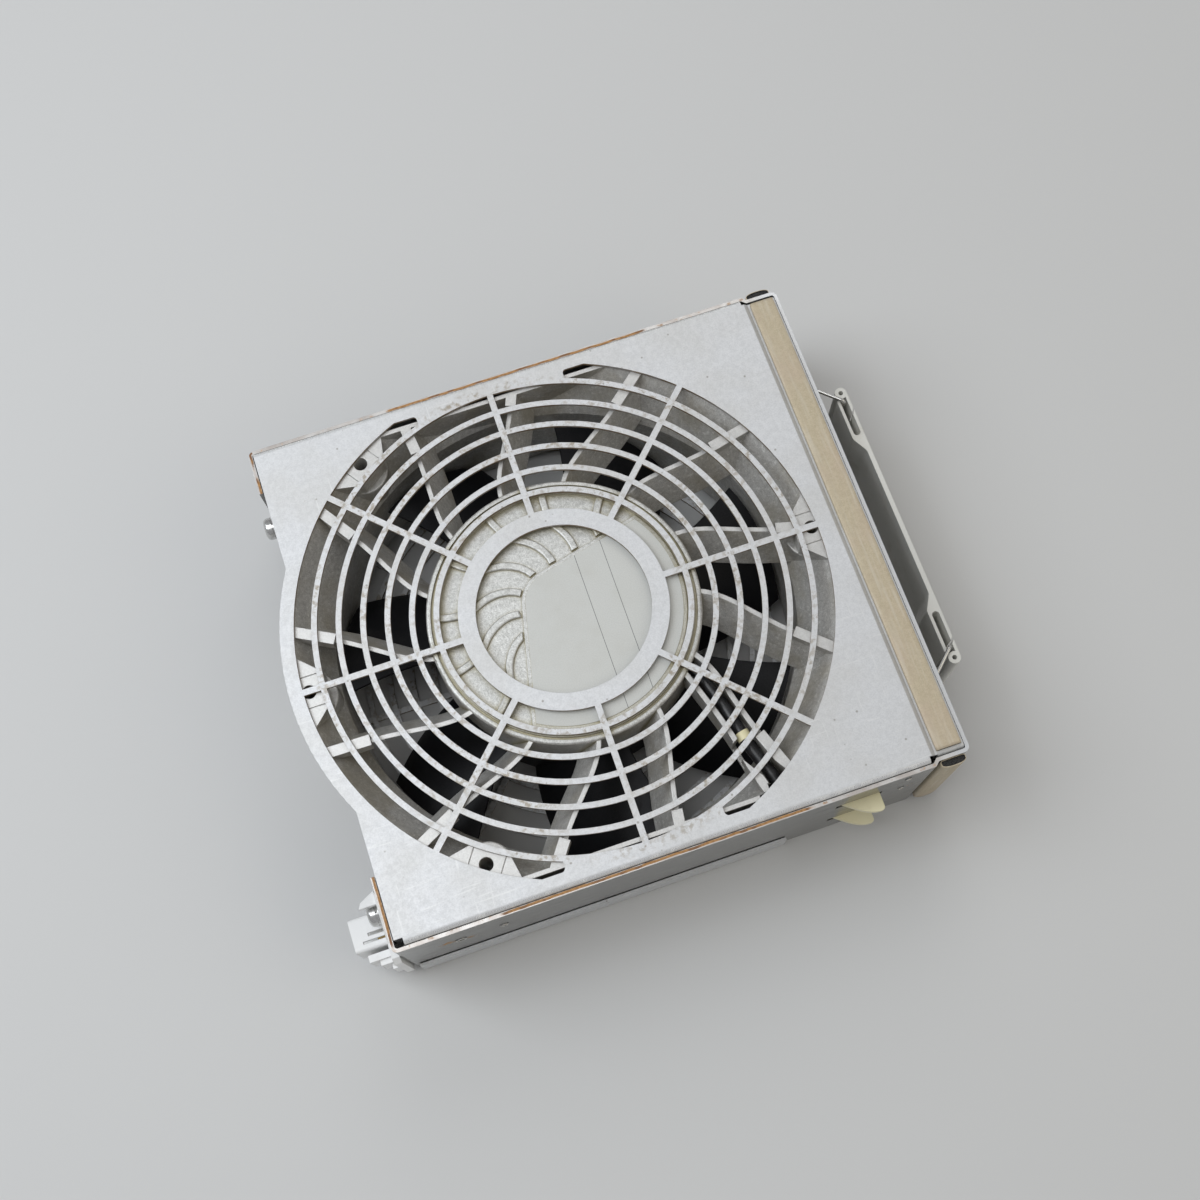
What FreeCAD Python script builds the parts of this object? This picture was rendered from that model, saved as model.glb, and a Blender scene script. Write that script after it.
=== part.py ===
import FreeCAD, Part
import math
import os

os.makedirs("parts", exist_ok=True)
V = FreeCAD.Vector
UP = V(0, 0, 1)

# ---------------------------------------------------------------------------
# Driving dimensions (mm). +X points to the grip, +Z is up through the grille,
# the origin is on the fan axis at the level the module rests on.
# ---------------------------------------------------------------------------
GAP = 0.2                       # sheet-to-sheet clearance inside the housing

# sheet metal
SHELL_T = 1.2                   # wrap-around wall
COVER_T = 1.0                   # top and bottom covers
SHELL_HALF_W = 82.5
SHELL_X_REAR = -79.0
SHELL_X_FRONT = 100.0
SHELL_CORNER_R = 2.0
SHELL_Z0 = COVER_T
SHELL_Z1 = 51.8                 # cut edge sits just under the top face
JOGGLE_X = 88.0                 # where the front gasket recess starts
JOGGLE_RUN = 1.4
JOGGLE_IN = 1.3                 # side recess
JOGGLE_DOWN = 1.2               # top and bottom recess
TOP_Z = 53.2
COVER_X_REAR = -77.4
BULGE_OVER = 1.0                # the round rear edge reaches this far past the fan
SCALLOP_PITCH = 3.2             # nibbled edge
SCALLOP_D = 0.14
CLINCHES = ((-60.5, 34.0, 1.5), (-47.0, 34.0, 1.1), (80.5, 46.5, 0.7), (80.5, 33.0, 0.7))
BEND_R = 1.6
TOP_FLANGE_H = 12.0
REAR_FLANGE_H = 10.0
REAR_FLANGE_Y = (-79.0, -60.0)
NOTCH = 3.0                     # relief at the rear corner of the cover
LAP_T = 0.9                     # upturned edge of the bottom cover
LAP_H = 12.0
LAP_X = (-76.5, 45.0)

# finger guard punched in the covers
OPEN_R = 82.7
OPEN_FLAT_Y = 76.3              # the outer row of slots is cut off here
SLOT_END_X = 24.6
RINGS = (76.5, 69.0, 61.5, 54.0, 46.5, 39.0)
RING_W = 1.8
SPOKES = 8
SPOKE_W = 2.0
EYE_R = (27.0, 32.5)            # wide ring in the middle
LOWER_OPEN_R = 75.6
LOWER_EYE_R = (20.0, 31.5)

# fan, nominal 172 x 150 x 51
FAN_R = 86.0
FAN_HALF_FLAT = 75.0
FAN_Z0 = COVER_T
FAN_H = 51.0
FAN_Z1 = FAN_Z0 + FAN_H
BULGE_R = FAN_R + BULGE_OVER
BORE_R = 73.0
BORE_WALL = 4.0
WAIST_R = BORE_R + BORE_WALL
RIM_T = 2.4
FLARE_R = FAN_R - RIM_T
FLARE_Z = 36.0
FLANGE_H = 4.0
LUG_EDGE = 5.0
LUG_PCD_R = FAN_R - LUG_EDGE
LUG_LAND = ((-5.5, 5.0), (2.2, 12.5), (8.0, 12.5))    # from the hole: outwards, half width
LUG_LINE = (5.0, 0.12, 0.2)        # parting lines: off the hole, half width, depth
LUG_BOSS_R = 7.7
LUG_BOSS_Z = 46.0
LUG_ANGLES = (0, 124.5, 180, 235.5)
SCREW_ANGLES = (55.5, 124.5, 235.5, 304.5)
SCREW_BOSS_Z = 14.5
LUG_HOLE_R = 2.15
VANES = 13
VANE_PATH = ((FAN_R - 1.0, -0.4), (72.4, 2.3), (58.7, 7.5), (50.3, 12.6), (41.4, 17.0))
VANE_TOP_Z = 50.9
VANE_LOW_Z = 38.0
VANE_LEAN = 6.0
VANE_T = 1.4
PAD_W = 3.4
PAD_R = (BORE_R - 2.5, FAN_R - 1.5)
CHANNEL_WALL = ((83.0, 298.2), (79.9, 298.7), (73.3, 300.2), (66.2, 302.4), (59.5, 304.6), (41.6, 312.5))
CHANNEL_MID = ((77.0, 302.4), (67.7, 305.2), (57.0, 309.2), (41.6, 316.6))
CHANNEL_VANE = 11                  # this vane stands upright as the other wall
CHANNEL_W = 5.8

LEAD_R = 0.6
LEAD_Z = 47.9
SLEEVE_R = (1.72, 1.98)
LEAD_BEND = 5.0

# motor
CUP_R = 42.5
CUP_WALL = 2.3
CUP_Z = (34.0, 51.5)
CUP_TOP_T = 3.2
FACE_R = 38.2                   # recessed face with the swirl ribs
FACE_Z = 50.3
SEAT_Z = 50.8
LABEL_T = 0.2
SWIRL = ((38.6, 0.0), (33.0, -0.6), (29.0, -3.0), (24.8, -11.0), (20.0, -20.0), (13.5, -26.0))
SWIRL_W = 2.4
SHAFT_R = 4.0
BEARING_R = 11.0
BEARING_H = 7.0
RUN_FIT = 0.04
BEARING_Z = (15.5, 37.5)
TUBE_R = 13.2
TUBE_Z = (14.0, 48.3)
STATOR_Z = (12.0, 27.0)
STATOR_R = 32.6
TEETH = 9
MAGNET_R = (33.3, 36.4)
YOKE_R = (36.45, 39.1)
ROTOR_RING_Z = (7.0, 31.0)
IMP_HUB_R = 41.0
IMP_HUB_T = 1.8
IMP_Z = (3.0, 32.6)
BLADES = 7
TIP_GAP = 1.0
BLADE_TIP_R = BORE_R - TIP_GAP
BOARD_Z = (36.0, 37.6)
BOARD_R = 38.0

# grip and its wire links
GRIP_Y = -3.0                   # middle of the grip
GRIP_Z = (13.5, 39.2)
GRIP_BARREL_Y = 47.8            # from the middle
GRIP_BARREL_X = 110.35
GRIP_BARREL_R = 2.0
GRIP_HOLE_R = 0.75
GRIP_OUT_X = 112.35
GRIP_WALL = 1.0
GRIP_SLOT_W = 2.3
GRIP_SLOT_END = 32.0            # from the middle
GRIP_MID_T = 1.5
GRIP_SPLIT = ((43.1, 4.1, 0.35), (40.5, -2.9, 0.55))    # place, lean, half width
WIRE_R = 0.6
LINK_PIN = (110.05, 44.3)       # x, distance from the grip's middle
LINK_HINGE = (92.0, 61.0)
LEG_CLEAR = 0.5
EAR_T = 1.2
EAR_Z = (8.2, 43.6)             # inner faces of the bracket ears
HINGE_END = 1.2

# side latches
FIN_Z = (15.7, 37.7)
FIN_T = 1.8
FIN_X = (61.0, 72.6)
FIN_OUT = 5.3
LEVER_PIVOT = (92.5, 72.6)
LEVER_Z = (13.0, 40.4)
LEVER_PIN_R = 1.5
LEVER_BOSS_R = 3.6
SPRING_R = 2.6
SPRING_WIRE_R = 0.35
LATCH_SLOT_X = (58.6, 73.5)
LATCH_SLOT_H = 3.6

# rear end
REAR_SCREW = (66.0, 27.0)       # y, z
SCREW_R = 1.9
HEAD_R = 3.7
HEAD_H = 2.7


# ---------------------------------------------------------------------------
# Small helpers
# ---------------------------------------------------------------------------
def box(x0, x1, y0, y1, z0, z1):
    return Part.makeBox(x1 - x0, y1 - y0, z1 - z0, V(x0, y0, z0))


def cyl(r, z0, z1, x=0.0, y=0.0):
    return Part.makeCylinder(r, z1 - z0, V(x, y, z0), UP)


def tube(r0, r1, z0, z1, x=0.0, y=0.0):
    return cyl(r1, z0, z1, x, y).cut(cyl(r0, z0 - 1, z1 + 1, x, y))


def cone(r0, r1, z0, z1):
    return Part.makeCone(r0, r1, z1 - z0, V(0, 0, z0), UP)


def fuse(shapes):
    out = shapes[0].fuse(shapes[1:]) if len(shapes) > 1 else shapes[0]
    return out.removeSplitter()


def turned(shape, deg, centre=None):
    out = shape.copy()
    out.rotate(centre or V(0, 0, 0), UP, deg)
    return out


def mirrored(shape):
    return shape.mirror(V(0, 0, 0), V(0, 1, 0))


def polar(r, deg, z=0.0):
    return V(r * math.cos(math.radians(deg)), r * math.sin(math.radians(deg)), z)


def outline(pts, z=0.0):
    """Closed flat wire through (x, y, corner radius) points."""
    n = len(pts)
    legs = []
    for i, (x, y, r) in enumerate(pts):
        p = V(x, y, z)
        a = V(pts[i - 1][0], pts[i - 1][1], z) - p
        b = V(pts[(i + 1) % n][0], pts[(i + 1) % n][1], z) - p
        a.normalize()
        b.normalize()
        if r <= 0:
            legs.append((p, None, p))
            continue
        half = a.getAngle(b) / 2
        bis = a + b
        bis.normalize()
        d = r / math.tan(half)
        legs.append((p + a * d, p + bis * (r / math.sin(half) - r), p + b * d))
    edges = []
    for i in range(n):
        start, mid, end = legs[i]
        if mid is not None:
            edges.append(Part.Arc(start, mid, end).toShape())
        nxt = legs[(i + 1) % n][0]
        if (nxt - end).Length > 1e-6:
            edges.append(Part.makeLine(end, nxt))
    return Part.Wire(edges)


def slab(pts, z0, z1):
    """Flat outline of (x, y) or (x, y, r) points, raised from z0 to z1."""
    pts = [(p[0], p[1], p[2] if len(p) > 2 else 0.0) for p in pts]
    return Part.Face(outline(pts, z0)).extrude(V(0, 0, z1 - z0))


def ribbon(path, half_w, z0, z1):
    """Curved rib of constant width along a flat path."""
    left, right = [], []
    for i, p in enumerate(path):
        a = path[max(i - 1, 0)]
        b = path[min(i + 1, len(path) - 1)]
        n = UP.cross(V(b.x - a.x, b.y - a.y, 0))
        n.normalize()
        left.append(V(p.x, p.y, z0) + n * half_w)
        right.append(V(p.x, p.y, z0) - n * half_w)
    sides = []
    for pts in (left, right):
        s = Part.BSplineCurve()
        s.interpolate(pts)
        sides.append(s.toShape())
    ends = [Part.makeLine(left[0], right[0]), Part.makeLine(left[-1], right[-1])]
    wire = Part.Wire(Part.__sortEdges__(sides + ends))
    return Part.Face(wire).extrude(V(0, 0, z1 - z0))


def bent_wire(pts, r, bend_r=None):
    """Round wire: straight legs joined by bends, of one radius or as large as the legs allow."""
    edges = []
    last = pts[0]
    for i in range(1, len(pts) - 1):
        p = pts[i]
        a = pts[i - 1] - p
        b = pts[i + 1] - p
        reach = 0.45 * min(a.Length, b.Length)
        a.normalize()
        b.normalize()
        half = a.getAngle(b) / 2
        radius = bend_r or reach * math.tan(half)
        bis = a + b
        bis.normalize()
        d = radius / math.tan(half)
        mid = p + bis * (radius / math.sin(half) - radius)
        edges.append(Part.makeLine(last, p + a * d))
        edges.append(Part.Arc(p + a * d, mid, p + b * d).toShape())
        last = p + b * d
    edges.append(Part.makeLine(last, pts[-1]))
    ring = Part.Wire(Part.makeCircle(r, pts[0], pts[1] - pts[0]))
    return Part.Wire(edges).makePipeShell([ring], True, False)


def eased(shape, size, z, tol=0.01):
    """Round the edges that lie flat at height z."""
    edges = []
    for e in shape.Edges:
        zs = [v.Point.z for v in e.Vertexes]
        if zs and max(abs(q - z) for q in zs) < tol and abs(e.BoundBox.ZLength) < tol:
            edges.append(e)
    return shape.makeFillet(size, edges) if edges else shape


def save(name, shape):
    solids = shape if isinstance(shape, list) else shape.Solids
    out = Part.makeCompound(solids) if len(solids) > 1 else solids[0]
    bad = [s for s in solids if not s.isValid()]
    if bad:
        print("invalid solid in", name)
    out.exportStep("parts/" + name + ".step")
    print(name, len(solids), round(sum(s.Volume for s in solids) / 1000.0, 2), "cm3")


# ---------------------------------------------------------------------------
# Housing: wrap-around shell
# ---------------------------------------------------------------------------
def shell_band():
    w = SHELL_HALF_W
    t = SHELL_T
    wf = w - JOGGLE_IN
    xr = SHELL_X_REAR
    xf = SHELL_X_FRONT
    xj = JOGGLE_X + 0.4
    xk = xj + JOGGLE_RUN
    rc = SHELL_CORNER_R
    ri = rc - t
    y_end = 59.5
    pts = [(xr, y_end, 0), (xr, w, rc), (xj, w, 0.8), (xk, wf, 0.5), (xf, wf, rc),
           (xf, -wf, rc), (xk, -wf, 0.5), (xj, -w, 0.8), (xr, -w, rc), (xr, -y_end, 0),
           (xr + t, -y_end, 0), (xr + t, t - w, ri), (xj - 0.4, t - w, 0.5), (xk - 0.4, t - wf, 0.8),
           (xf - t, t - wf, ri), (xf - t, wf - t, ri), (xk - 0.4, wf - t, 0.8),
           (xj - 0.4, w - t, 0.5), (xr + t, w - t, ri), (xr + t, y_end, 0)]
    return slab(pts, SHELL_Z0, SHELL_Z1)


def tab_notch():
    """Upper part of the +Y rear tab is cut back."""
    x0 = SHELL_X_REAR - 1
    pts = [V(x0, 50, 60), V(x0, 67.4, 60), V(x0, 67.4, 40), V(x0, 62.0, 36), V(x0, 50, 36), V(x0, 50, 60)]
    return Part.Face(Part.makePolygon(pts)).extrude(V(4, 0, 0))


def leg_heights():
    off = LEG_CLEAR + WIRE_R
    return (GRIP_Z[0] - off, GRIP_Z[1] + off)


def link_slots():
    """Level slots in the front wall for the wire links."""
    cuts = []
    for side in (1, -1):
        for z in leg_heights():
            y0 = GRIP_Y + side * 45.5
            y1 = GRIP_Y + side * 55.0
            lo, hi = min(y0, y1), max(y0, y1)
            s = box(97, 102, lo, hi, z - 1.5, z + 1.5)
            s = s.fuse(Part.makeCylinder(1.5, 5, V(97, lo, z), V(1, 0, 0)))
            cuts.append(s.fuse(Part.makeCylinder(1.5, 5, V(97, hi, z), V(1, 0, 0))))
    return cuts


def latch_slots():
    cuts = []
    for side in (1, -1):
        for z in FIN_Z:
            y0 = side * (SHELL_HALF_W - 3)
            y1 = side * (SHELL_HALF_W + 3)
            cuts.append(box(LATCH_SLOT_X[0], LATCH_SLOT_X[1], min(y0, y1), max(y0, y1),
                            z - LATCH_SLOT_H / 2, z + LATCH_SLOT_H / 2))
    return cuts


def clinch_dimples(shape):
    """Small round clinch points that hold the covers' edges."""
    adds, cuts = [], []
    for side in (1, -1):
        for x, z, r in CLINCHES:
            face = V(x, side * SHELL_HALF_W, z)
            adds.append(Part.makeCylinder(r + 0.4, 0.25, face - V(0, side * 0.05, 0), V(0, side, 0)))
            cuts.append(Part.makeCylinder(r, 0.9, face + V(0, side * 0.5, 0), V(0, -side, 0)))
    return shape.fuse(adds).cut(cuts)


def outer_shell():
    s = shell_band().cut([tab_notch()] + link_slots() + latch_slots())
    y, z = REAR_SCREW
    for side in (1, -1):
        hole = Part.makeCylinder(SCREW_R + 0.3, 6, V(SHELL_X_REAR - 2, side * y, z), V(1, 0, 0))
        s = s.cut(hole)
    y0 = -REAR_SCREW[0] + 1.5
    s = s.cut(box(SHELL_X_REAR - 1, SHELL_X_REAR + 3, -78.0, y0, 8.5, 20.5))
    return clinch_dimples(s)


# ---------------------------------------------------------------------------
# Housing: covers with the punched finger guard
# ---------------------------------------------------------------------------
def bulge_edge(r, x_cut, z0, z1):
    """Disc with a finely scalloped rim, kept behind x_cut."""
    half = math.degrees(math.acos(-x_cut / r))
    steps = int(2 * half * math.pi / 180 * r / SCALLOP_PITCH)
    edges = []
    for i in range(steps):
        a0 = 180 - half + 2 * half * i / steps
        a1 = 180 - half + 2 * half * (i + 1) / steps
        mid = polar(r + SCALLOP_D, (a0 + a1) / 2, z0)
        edges.append(Part.Arc(polar(r, a0, z0), mid, polar(r, a1, z0)).toShape())
    edges.append(Part.makeLine(polar(r, 180 + half, z0), polar(r, 180 - half, z0)))
    return Part.Face(Part.Wire(edges)).extrude(V(0, 0, z1 - z0))


def ring_cells(r0, r1, z0, z1):
    """One row of guard openings between two rings, split by the spokes."""
    row = tube(r0, r1, z0, z1)
    bars = []
    for i in range(SPOKES // 2):
        bar = box(-r1 - 2, r1 + 2, -SPOKE_W / 2, SPOKE_W / 2, z0 - 1, z1 + 1)
        bars.append(turned(bar, 360.0 * i / SPOKES))
    return row.cut(bars)


def guard_cells(open_r, eye, z0, z1):
    half = RING_W / 2
    rows = [r for r in RINGS if r + half < open_r - 2]
    cells = []
    outer = rows[0] + half
    first = ring_cells(outer, open_r, z0, z1)
    if open_r > OPEN_FLAT_Y:
        flat = OPEN_FLAT_Y
        keep = []
        for side in (1, -1):
            x0 = min(side * SLOT_END_X, side * 90)
            pts = [(x0, -flat, 0), (x0 + 90 - SLOT_END_X, -flat, 0),
                   (x0 + 90 - SLOT_END_X, flat, 0), (x0, flat, 0)]
            r = 1.2
            pts = [(x, y, r if abs(x) < 30 else 0) for x, y, _ in pts]
            keep.append(slab(pts, z0, z1))
        first = first.common(Part.makeCompound(keep))
    cells.append(first)
    for a, b in zip(rows[1:], rows[:-1]):
        cells.append(ring_cells(a + half, b - half, z0, z1))
    cells.append(ring_cells(eye[1], rows[-1] - half, z0, z1))
    cells.append(cyl(eye[0], z0, z1))
    return cells


def bent_plate(half_w, x0, x1, z_top, flange_h, r):
    """Plate with both long edges bent down, outer bend radius r."""
    body = box(x0, x1, -half_w, half_w, z_top - flange_h, z_top)
    edges = []
    for e in body.Edges:
        b = e.BoundBox
        if b.XLength > 1 and abs(b.ZMax - z_top) < 0.01:
            edges.append(e)
    body = body.makeFillet(r, edges)
    inner_h = flange_h - COVER_T
    hollow = box(x0 - 1, x1 + 1, COVER_T - half_w, half_w - COVER_T,
                 z_top - COVER_T - inner_h - 1, z_top - COVER_T)
    edges = []
    for e in hollow.Edges:
        b = e.BoundBox
        if b.XLength > 1 and abs(b.ZMax - (z_top - COVER_T)) < 0.01 and b.ZLength < 0.01:
            edges.append(e)
    hollow = hollow.makeFillet(r - COVER_T + 0.1, edges)
    return body.cut(hollow)


def front_step(half_w, z_top, z_low, sign):
    """Sloped sheet between the main face and the gasket recess."""
    t = COVER_T * sign
    x0 = JOGGLE_X
    x1 = JOGGLE_X + JOGGLE_RUN
    pts = [V(x0 - 0.8, -half_w, z_top), V(x0, -half_w, z_top), V(x1, -half_w, z_low),
           V(x1 + 0.8, -half_w, z_low), V(x1 + 0.8, -half_w, z_low - t), V(x1 - 0.4, -half_w, z_low - t),
           V(x0 - 0.4, -half_w, z_top - t), V(x0 - 0.8, -half_w, z_top - t), V(x0 - 0.8, -half_w, z_top)]
    return Part.Face(Part.makePolygon(pts)).extrude(V(0, 2 * half_w, 0))


def rear_flange():
    """Bent-down rear edge beside the connector."""
    y0, y1 = REAR_FLANGE_Y
    x0 = COVER_X_REAR
    z1 = TOP_Z
    body = box(x0, x0 + 6, y0, y1, z1 - REAR_FLANGE_H, z1)
    edges = []
    for e in body.Edges:
        b = e.BoundBox
        if b.YLength > 1 and abs(b.ZMin - z1) < 0.01 and abs(b.XMax - x0) < 0.01:
            edges.append(e)
    body = body.makeFillet(BEND_R, edges)
    hollow = box(x0 + COVER_T, x0 + 7, y0 - 1, y1 + 1, z1 - REAR_FLANGE_H - 1, z1 - COVER_T)
    return body.cut(hollow)


def top_cover():
    half = SHELL_HALF_W - SHELL_T - GAP
    low = TOP_Z - JOGGLE_DOWN
    xj = JOGGLE_X
    main = bent_plate(half, COVER_X_REAR, xj - 0.7, TOP_Z, TOP_FLANGE_H, BEND_R)
    corner = box(COVER_X_REAR - 2, COVER_X_REAR + 2.6, -half - 1, REAR_FLANGE_Y[0], 0, 60)
    rear_trim = box(COVER_X_REAR - 1, COVER_X_REAR + 2.0, -half - 1, half + 1, 0, TOP_Z - COVER_T - 0.01)
    main = main.cut([corner, rear_trim])
    front_half = half - JOGGLE_IN
    x_front = SHELL_X_FRONT - SHELL_T - GAP
    front = bent_plate(front_half, xj + JOGGLE_RUN + 0.7, x_front, low, TOP_FLANGE_H - 3, BEND_R)
    lip = box(x_front - COVER_T, x_front, 2 - front_half, front_half - 2, EAR_Z[1] + EAR_T + 0.4, low - 0.5)
    step = front_step(front_half - 0.6, TOP_Z, low, 1)
    bulge = bulge_edge(BULGE_R, COVER_X_REAR + 2, TOP_Z - COVER_T, TOP_Z)
    s = fuse([main, step, front, lip, bulge, rear_flange()])
    return s.cut(guard_cells(OPEN_R, EYE_R, TOP_Z - COVER_T - 1, TOP_Z + 1))


def screw_sinks():
    """Countersinks for the four screws that hold the fan."""
    return [Part.makeCone(4.2, 2.1, 2.1, polar(LUG_PCD_R, a, -0.01), UP) for a in SCREW_ANGLES]


def bottom_cover():
    wide = SHELL_HALF_W + GAP + LAP_T
    x0, x1 = LAP_X
    plate = box(COVER_X_REAR, JOGGLE_X, -SHELL_HALF_W + 0.3, SHELL_HALF_W - 0.3, 0, COVER_T)
    lap = box(x0, x1, -wide, wide, 0, LAP_H)
    edges = []
    for e in lap.Edges:
        b = e.BoundBox
        if b.XLength > 1 and abs(b.ZMax) < 0.01:
            edges.append(e)
    lap = lap.makeFillet(BEND_R, edges)
    lap = lap.cut(box(x0 - 1, x1 + 1, LAP_T - wide, wide - LAP_T, COVER_T, LAP_H + 1))
    front_half = SHELL_HALF_W - SHELL_T - GAP - JOGGLE_IN
    x_front = SHELL_X_FRONT - SHELL_T - GAP
    low = JOGGLE_DOWN
    front = box(JOGGLE_X + JOGGLE_RUN + 0.7, x_front, -front_half, front_half, low, low + COVER_T)
    step = front_step(front_half - 0.6, 0, low, -1)
    lip = box(x_front - COVER_T, x_front, 2 - front_half, front_half - 2, low + 0.5, EAR_Z[0] - EAR_T - 0.4)
    bulge = bulge_edge(BULGE_R, COVER_X_REAR + 2, 0, COVER_T)
    s = fuse([plate, lap, step, front, lip, bulge])
    s = s.cut(guard_cells(LOWER_OPEN_R, LOWER_EYE_R, -1, COVER_T + 1))
    return s.cut(screw_sinks())


def gasket_pad(x0, x1, y0, y1, z0, height):
    """Foam strip with rounded upper long edges."""
    body = box(x0, x1, y0, y1, z0, z0 + height)
    return eased(body, min(height * 0.6, 1.2), z0 + height)


def emi_gasket_top():
    z0 = TOP_Z - JOGGLE_DOWN
    half = SHELL_HALF_W - SHELL_T - GAP - JOGGLE_IN
    return gasket_pad(89.9, 97.9, -half + 1.5, half - 1.2, z0, 1.5)


def emi_gasket_bottom():
    half = SHELL_HALF_W - SHELL_T - GAP - JOGGLE_IN
    body = gasket_pad(89.9, 97.9, -half + 1.5, half - 1.5, 0, JOGGLE_DOWN)
    body.rotate(V(0, 0, JOGGLE_DOWN / 2), V(1, 0, 0), 180)
    return body


def emi_gasket_sides():
    """Pillow strips in the recesses of both side walls."""
    y0 = SHELL_HALF_W - JOGGLE_IN
    x0, x1 = 90.2, 98.2
    mid = (x0 + x1) / 2
    arc = [Part.makeLine(V(x1, y0, 3.0), V(x0, y0, 3.0)),
           Part.makeLine(V(x0, y0, 3.0), V(x0, y0 + 1.0, 3.0)),
           Part.Arc(V(x0, y0 + 1.0, 3.0), V(mid, y0 + 2.6, 3.0), V(x1, y0 + 1.0, 3.0)).toShape(),
           Part.makeLine(V(x1, y0 + 1.0, 3.0), V(x1, y0, 3.0))]
    body = Part.Face(Part.Wire(arc)).extrude(V(0, 0, 47.6))
    return [body.Solids[0], mirrored(body).Solids[0]]


# ---------------------------------------------------------------------------
# Fan: die-cast frame with guide vanes and motor cup
# ---------------------------------------------------------------------------
def fan_envelope():
    z = FAN_Z1 - 6.0
    parts = [cyl(FAN_R, FAN_Z0, FAN_Z0 + FLANGE_H), cyl(WAIST_R, FAN_Z0, z - 7.5),
             cone(WAIST_R, FAN_R, z - 8.0, z), cyl(FAN_R, z, FAN_Z1)]
    for a in LUG_ANGLES:
        p = polar(LUG_PCD_R, a)
        parts.append(cyl(LUG_EDGE, FAN_Z0, z, p.x, p.y))
    for a in SCREW_ANGLES:
        p = polar(LUG_PCD_R, a)
        parts.append(cyl(LUG_EDGE, FAN_Z0, SCREW_BOSS_Z, p.x, p.y))
    body = fuse(parts)
    return body.common(box(-90, 90, -FAN_HALF_FLAT, FAN_HALF_FLAT, 0, 60)).common(cyl(FAN_R, 0, 60))


def fan_bore():
    y = FAN_HALF_FLAT - 1.4
    flare = cone(BORE_R, FLARE_R, FLARE_Z, FAN_Z1 + 0.01).common(box(-90, 90, -y, y, 0, 60))
    bell = cone(BORE_R + 3.0, BORE_R, FAN_Z0 - 0.01, FAN_Z0 + 6).common(box(-90, 90, -y, y, 0, 60))
    return fuse([cyl(BORE_R, 0, 60), flare, bell])


def lug_pad(angle):
    """Tapered land round one mounting hole, flush with the outlet face, on a round boss."""
    half = [(LUG_PCD_R + x, y) for x, y in LUG_LAND]
    land = slab([(x, -y) for x, y in half] + [(x, y) for x, y in reversed(half)], LUG_BOSS_Z - 2, FAN_Z1)
    boss = cyl(LUG_BOSS_R, FLARE_Z - 6, LUG_BOSS_Z, LUG_PCD_R)
    boss = eased(boss, 0.5, LUG_BOSS_Z)
    return [turned(land, angle), turned(boss, angle)]


def parting_lines(angle):
    """Two fine grooves across the land, left by the die inserts."""
    off, half, deep = LUG_LINE
    out = []
    for y in (-off, off):
        groove = box(LUG_PCD_R - 8, FAN_R + 1, y - half, y + half, FAN_Z1 - deep, FAN_Z1 + 1)
        out.append(turned(groove, angle))
    return out


def guide_vane():
    """Leaning, swept outlet vane lofted through five stations."""
    path = [polar(r, a) for r, a in VANE_PATH]
    wires = []
    for i, p in enumerate(path):
        a = path[max(i - 1, 0)]
        b = path[min(i + 1, len(path) - 1)]
        n = UP.cross(b - a)
        n.normalize()
        h = VANE_T / 2
        top = V(0, 0, VANE_TOP_Z)
        low = V(0, 0, VANE_LOW_Z)
        lean = n * VANE_LEAN
        q = [p + top - n * h, p + top + n * h, p + low + lean + n * h, p + low + lean - n * h]
        wires.append(Part.makePolygon(q + [q[0]]))
    return Part.makeLoft(wires, True, False)


def vane_pad():
    """Wider, higher land where a vane meets the frame."""
    r0, r1 = PAD_R
    a = polar(r0, 2.7)
    b = polar(r1, -0.3)
    return ribbon([a, (a + b) * 0.5, b], PAD_W / 2, VANE_TOP_Z - 4, FAN_Z1)


def cable_channel():
    """Two upright walls and a floor, from the motor cup to the frame's edge."""
    path = [polar(r, a) for r, a in CHANNEL_WALL]
    wall = ribbon(path, 0.8, FLARE_Z + 4, VANE_TOP_Z)
    land = ribbon(path[:4], 1.35, VANE_TOP_Z - 4, FAN_Z1)
    other = ribbon([polar(r, a + 360.0 * CHANNEL_VANE / VANES) for r, a in VANE_PATH], 0.8,
                   VANE_LOW_Z, VANE_TOP_Z)
    floor = ribbon([polar(r, a) for r, a in CHANNEL_MID], CHANNEL_W / 2 + 0.7, 44.1, 45.3)
    return [wall, land, other, floor]


def label_face(inset, z0, z1):
    """D-shaped land bounded by the rim and two straight edges."""
    disc = cyl(FACE_R - 0.3 - inset, z0, z1)
    a = math.radians(77.0)
    b = math.radians(13.6)
    p = V(-12.9 + inset, 1.0, 0)
    q = V(0.0, 14.8 - inset, 0)
    ends = [V(p.x - 60 * math.cos(a), p.y - 60 * math.sin(a), 0),
            V(q.x + 60 * math.cos(b), q.y + 60 * math.sin(b), 0)]
    t = ((q.x - p.x) * math.sin(b) - (q.y - p.y) * math.cos(b)) / math.sin(b - a)
    corner = V(p.x + t * math.cos(a), p.y + t * math.sin(a), 0)
    pts = [(ends[0].x, ends[0].y, 0), (corner.x, corner.y, 11.0 - inset),
           (ends[1].x, ends[1].y, 0), (80, -70, 0)]
    return disc.common(slab(pts, z0, z1))


def swirl_ribs():
    top = CUP_Z[1] - 0.2
    rib = ribbon([polar(r, a) for r, a in SWIRL], SWIRL_W / 2, FACE_Z - 0.5, top)
    rib = eased(rib, 0.5, top)
    seat = label_face(-0.6, FACE_Z - 1, CUP_Z[1] + 1)
    ribs = []
    for i in range(VANES):
        ribs.append(turned(rib, -0.8 + 360.0 * i / VANES).cut(seat))
    return ribs


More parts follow.
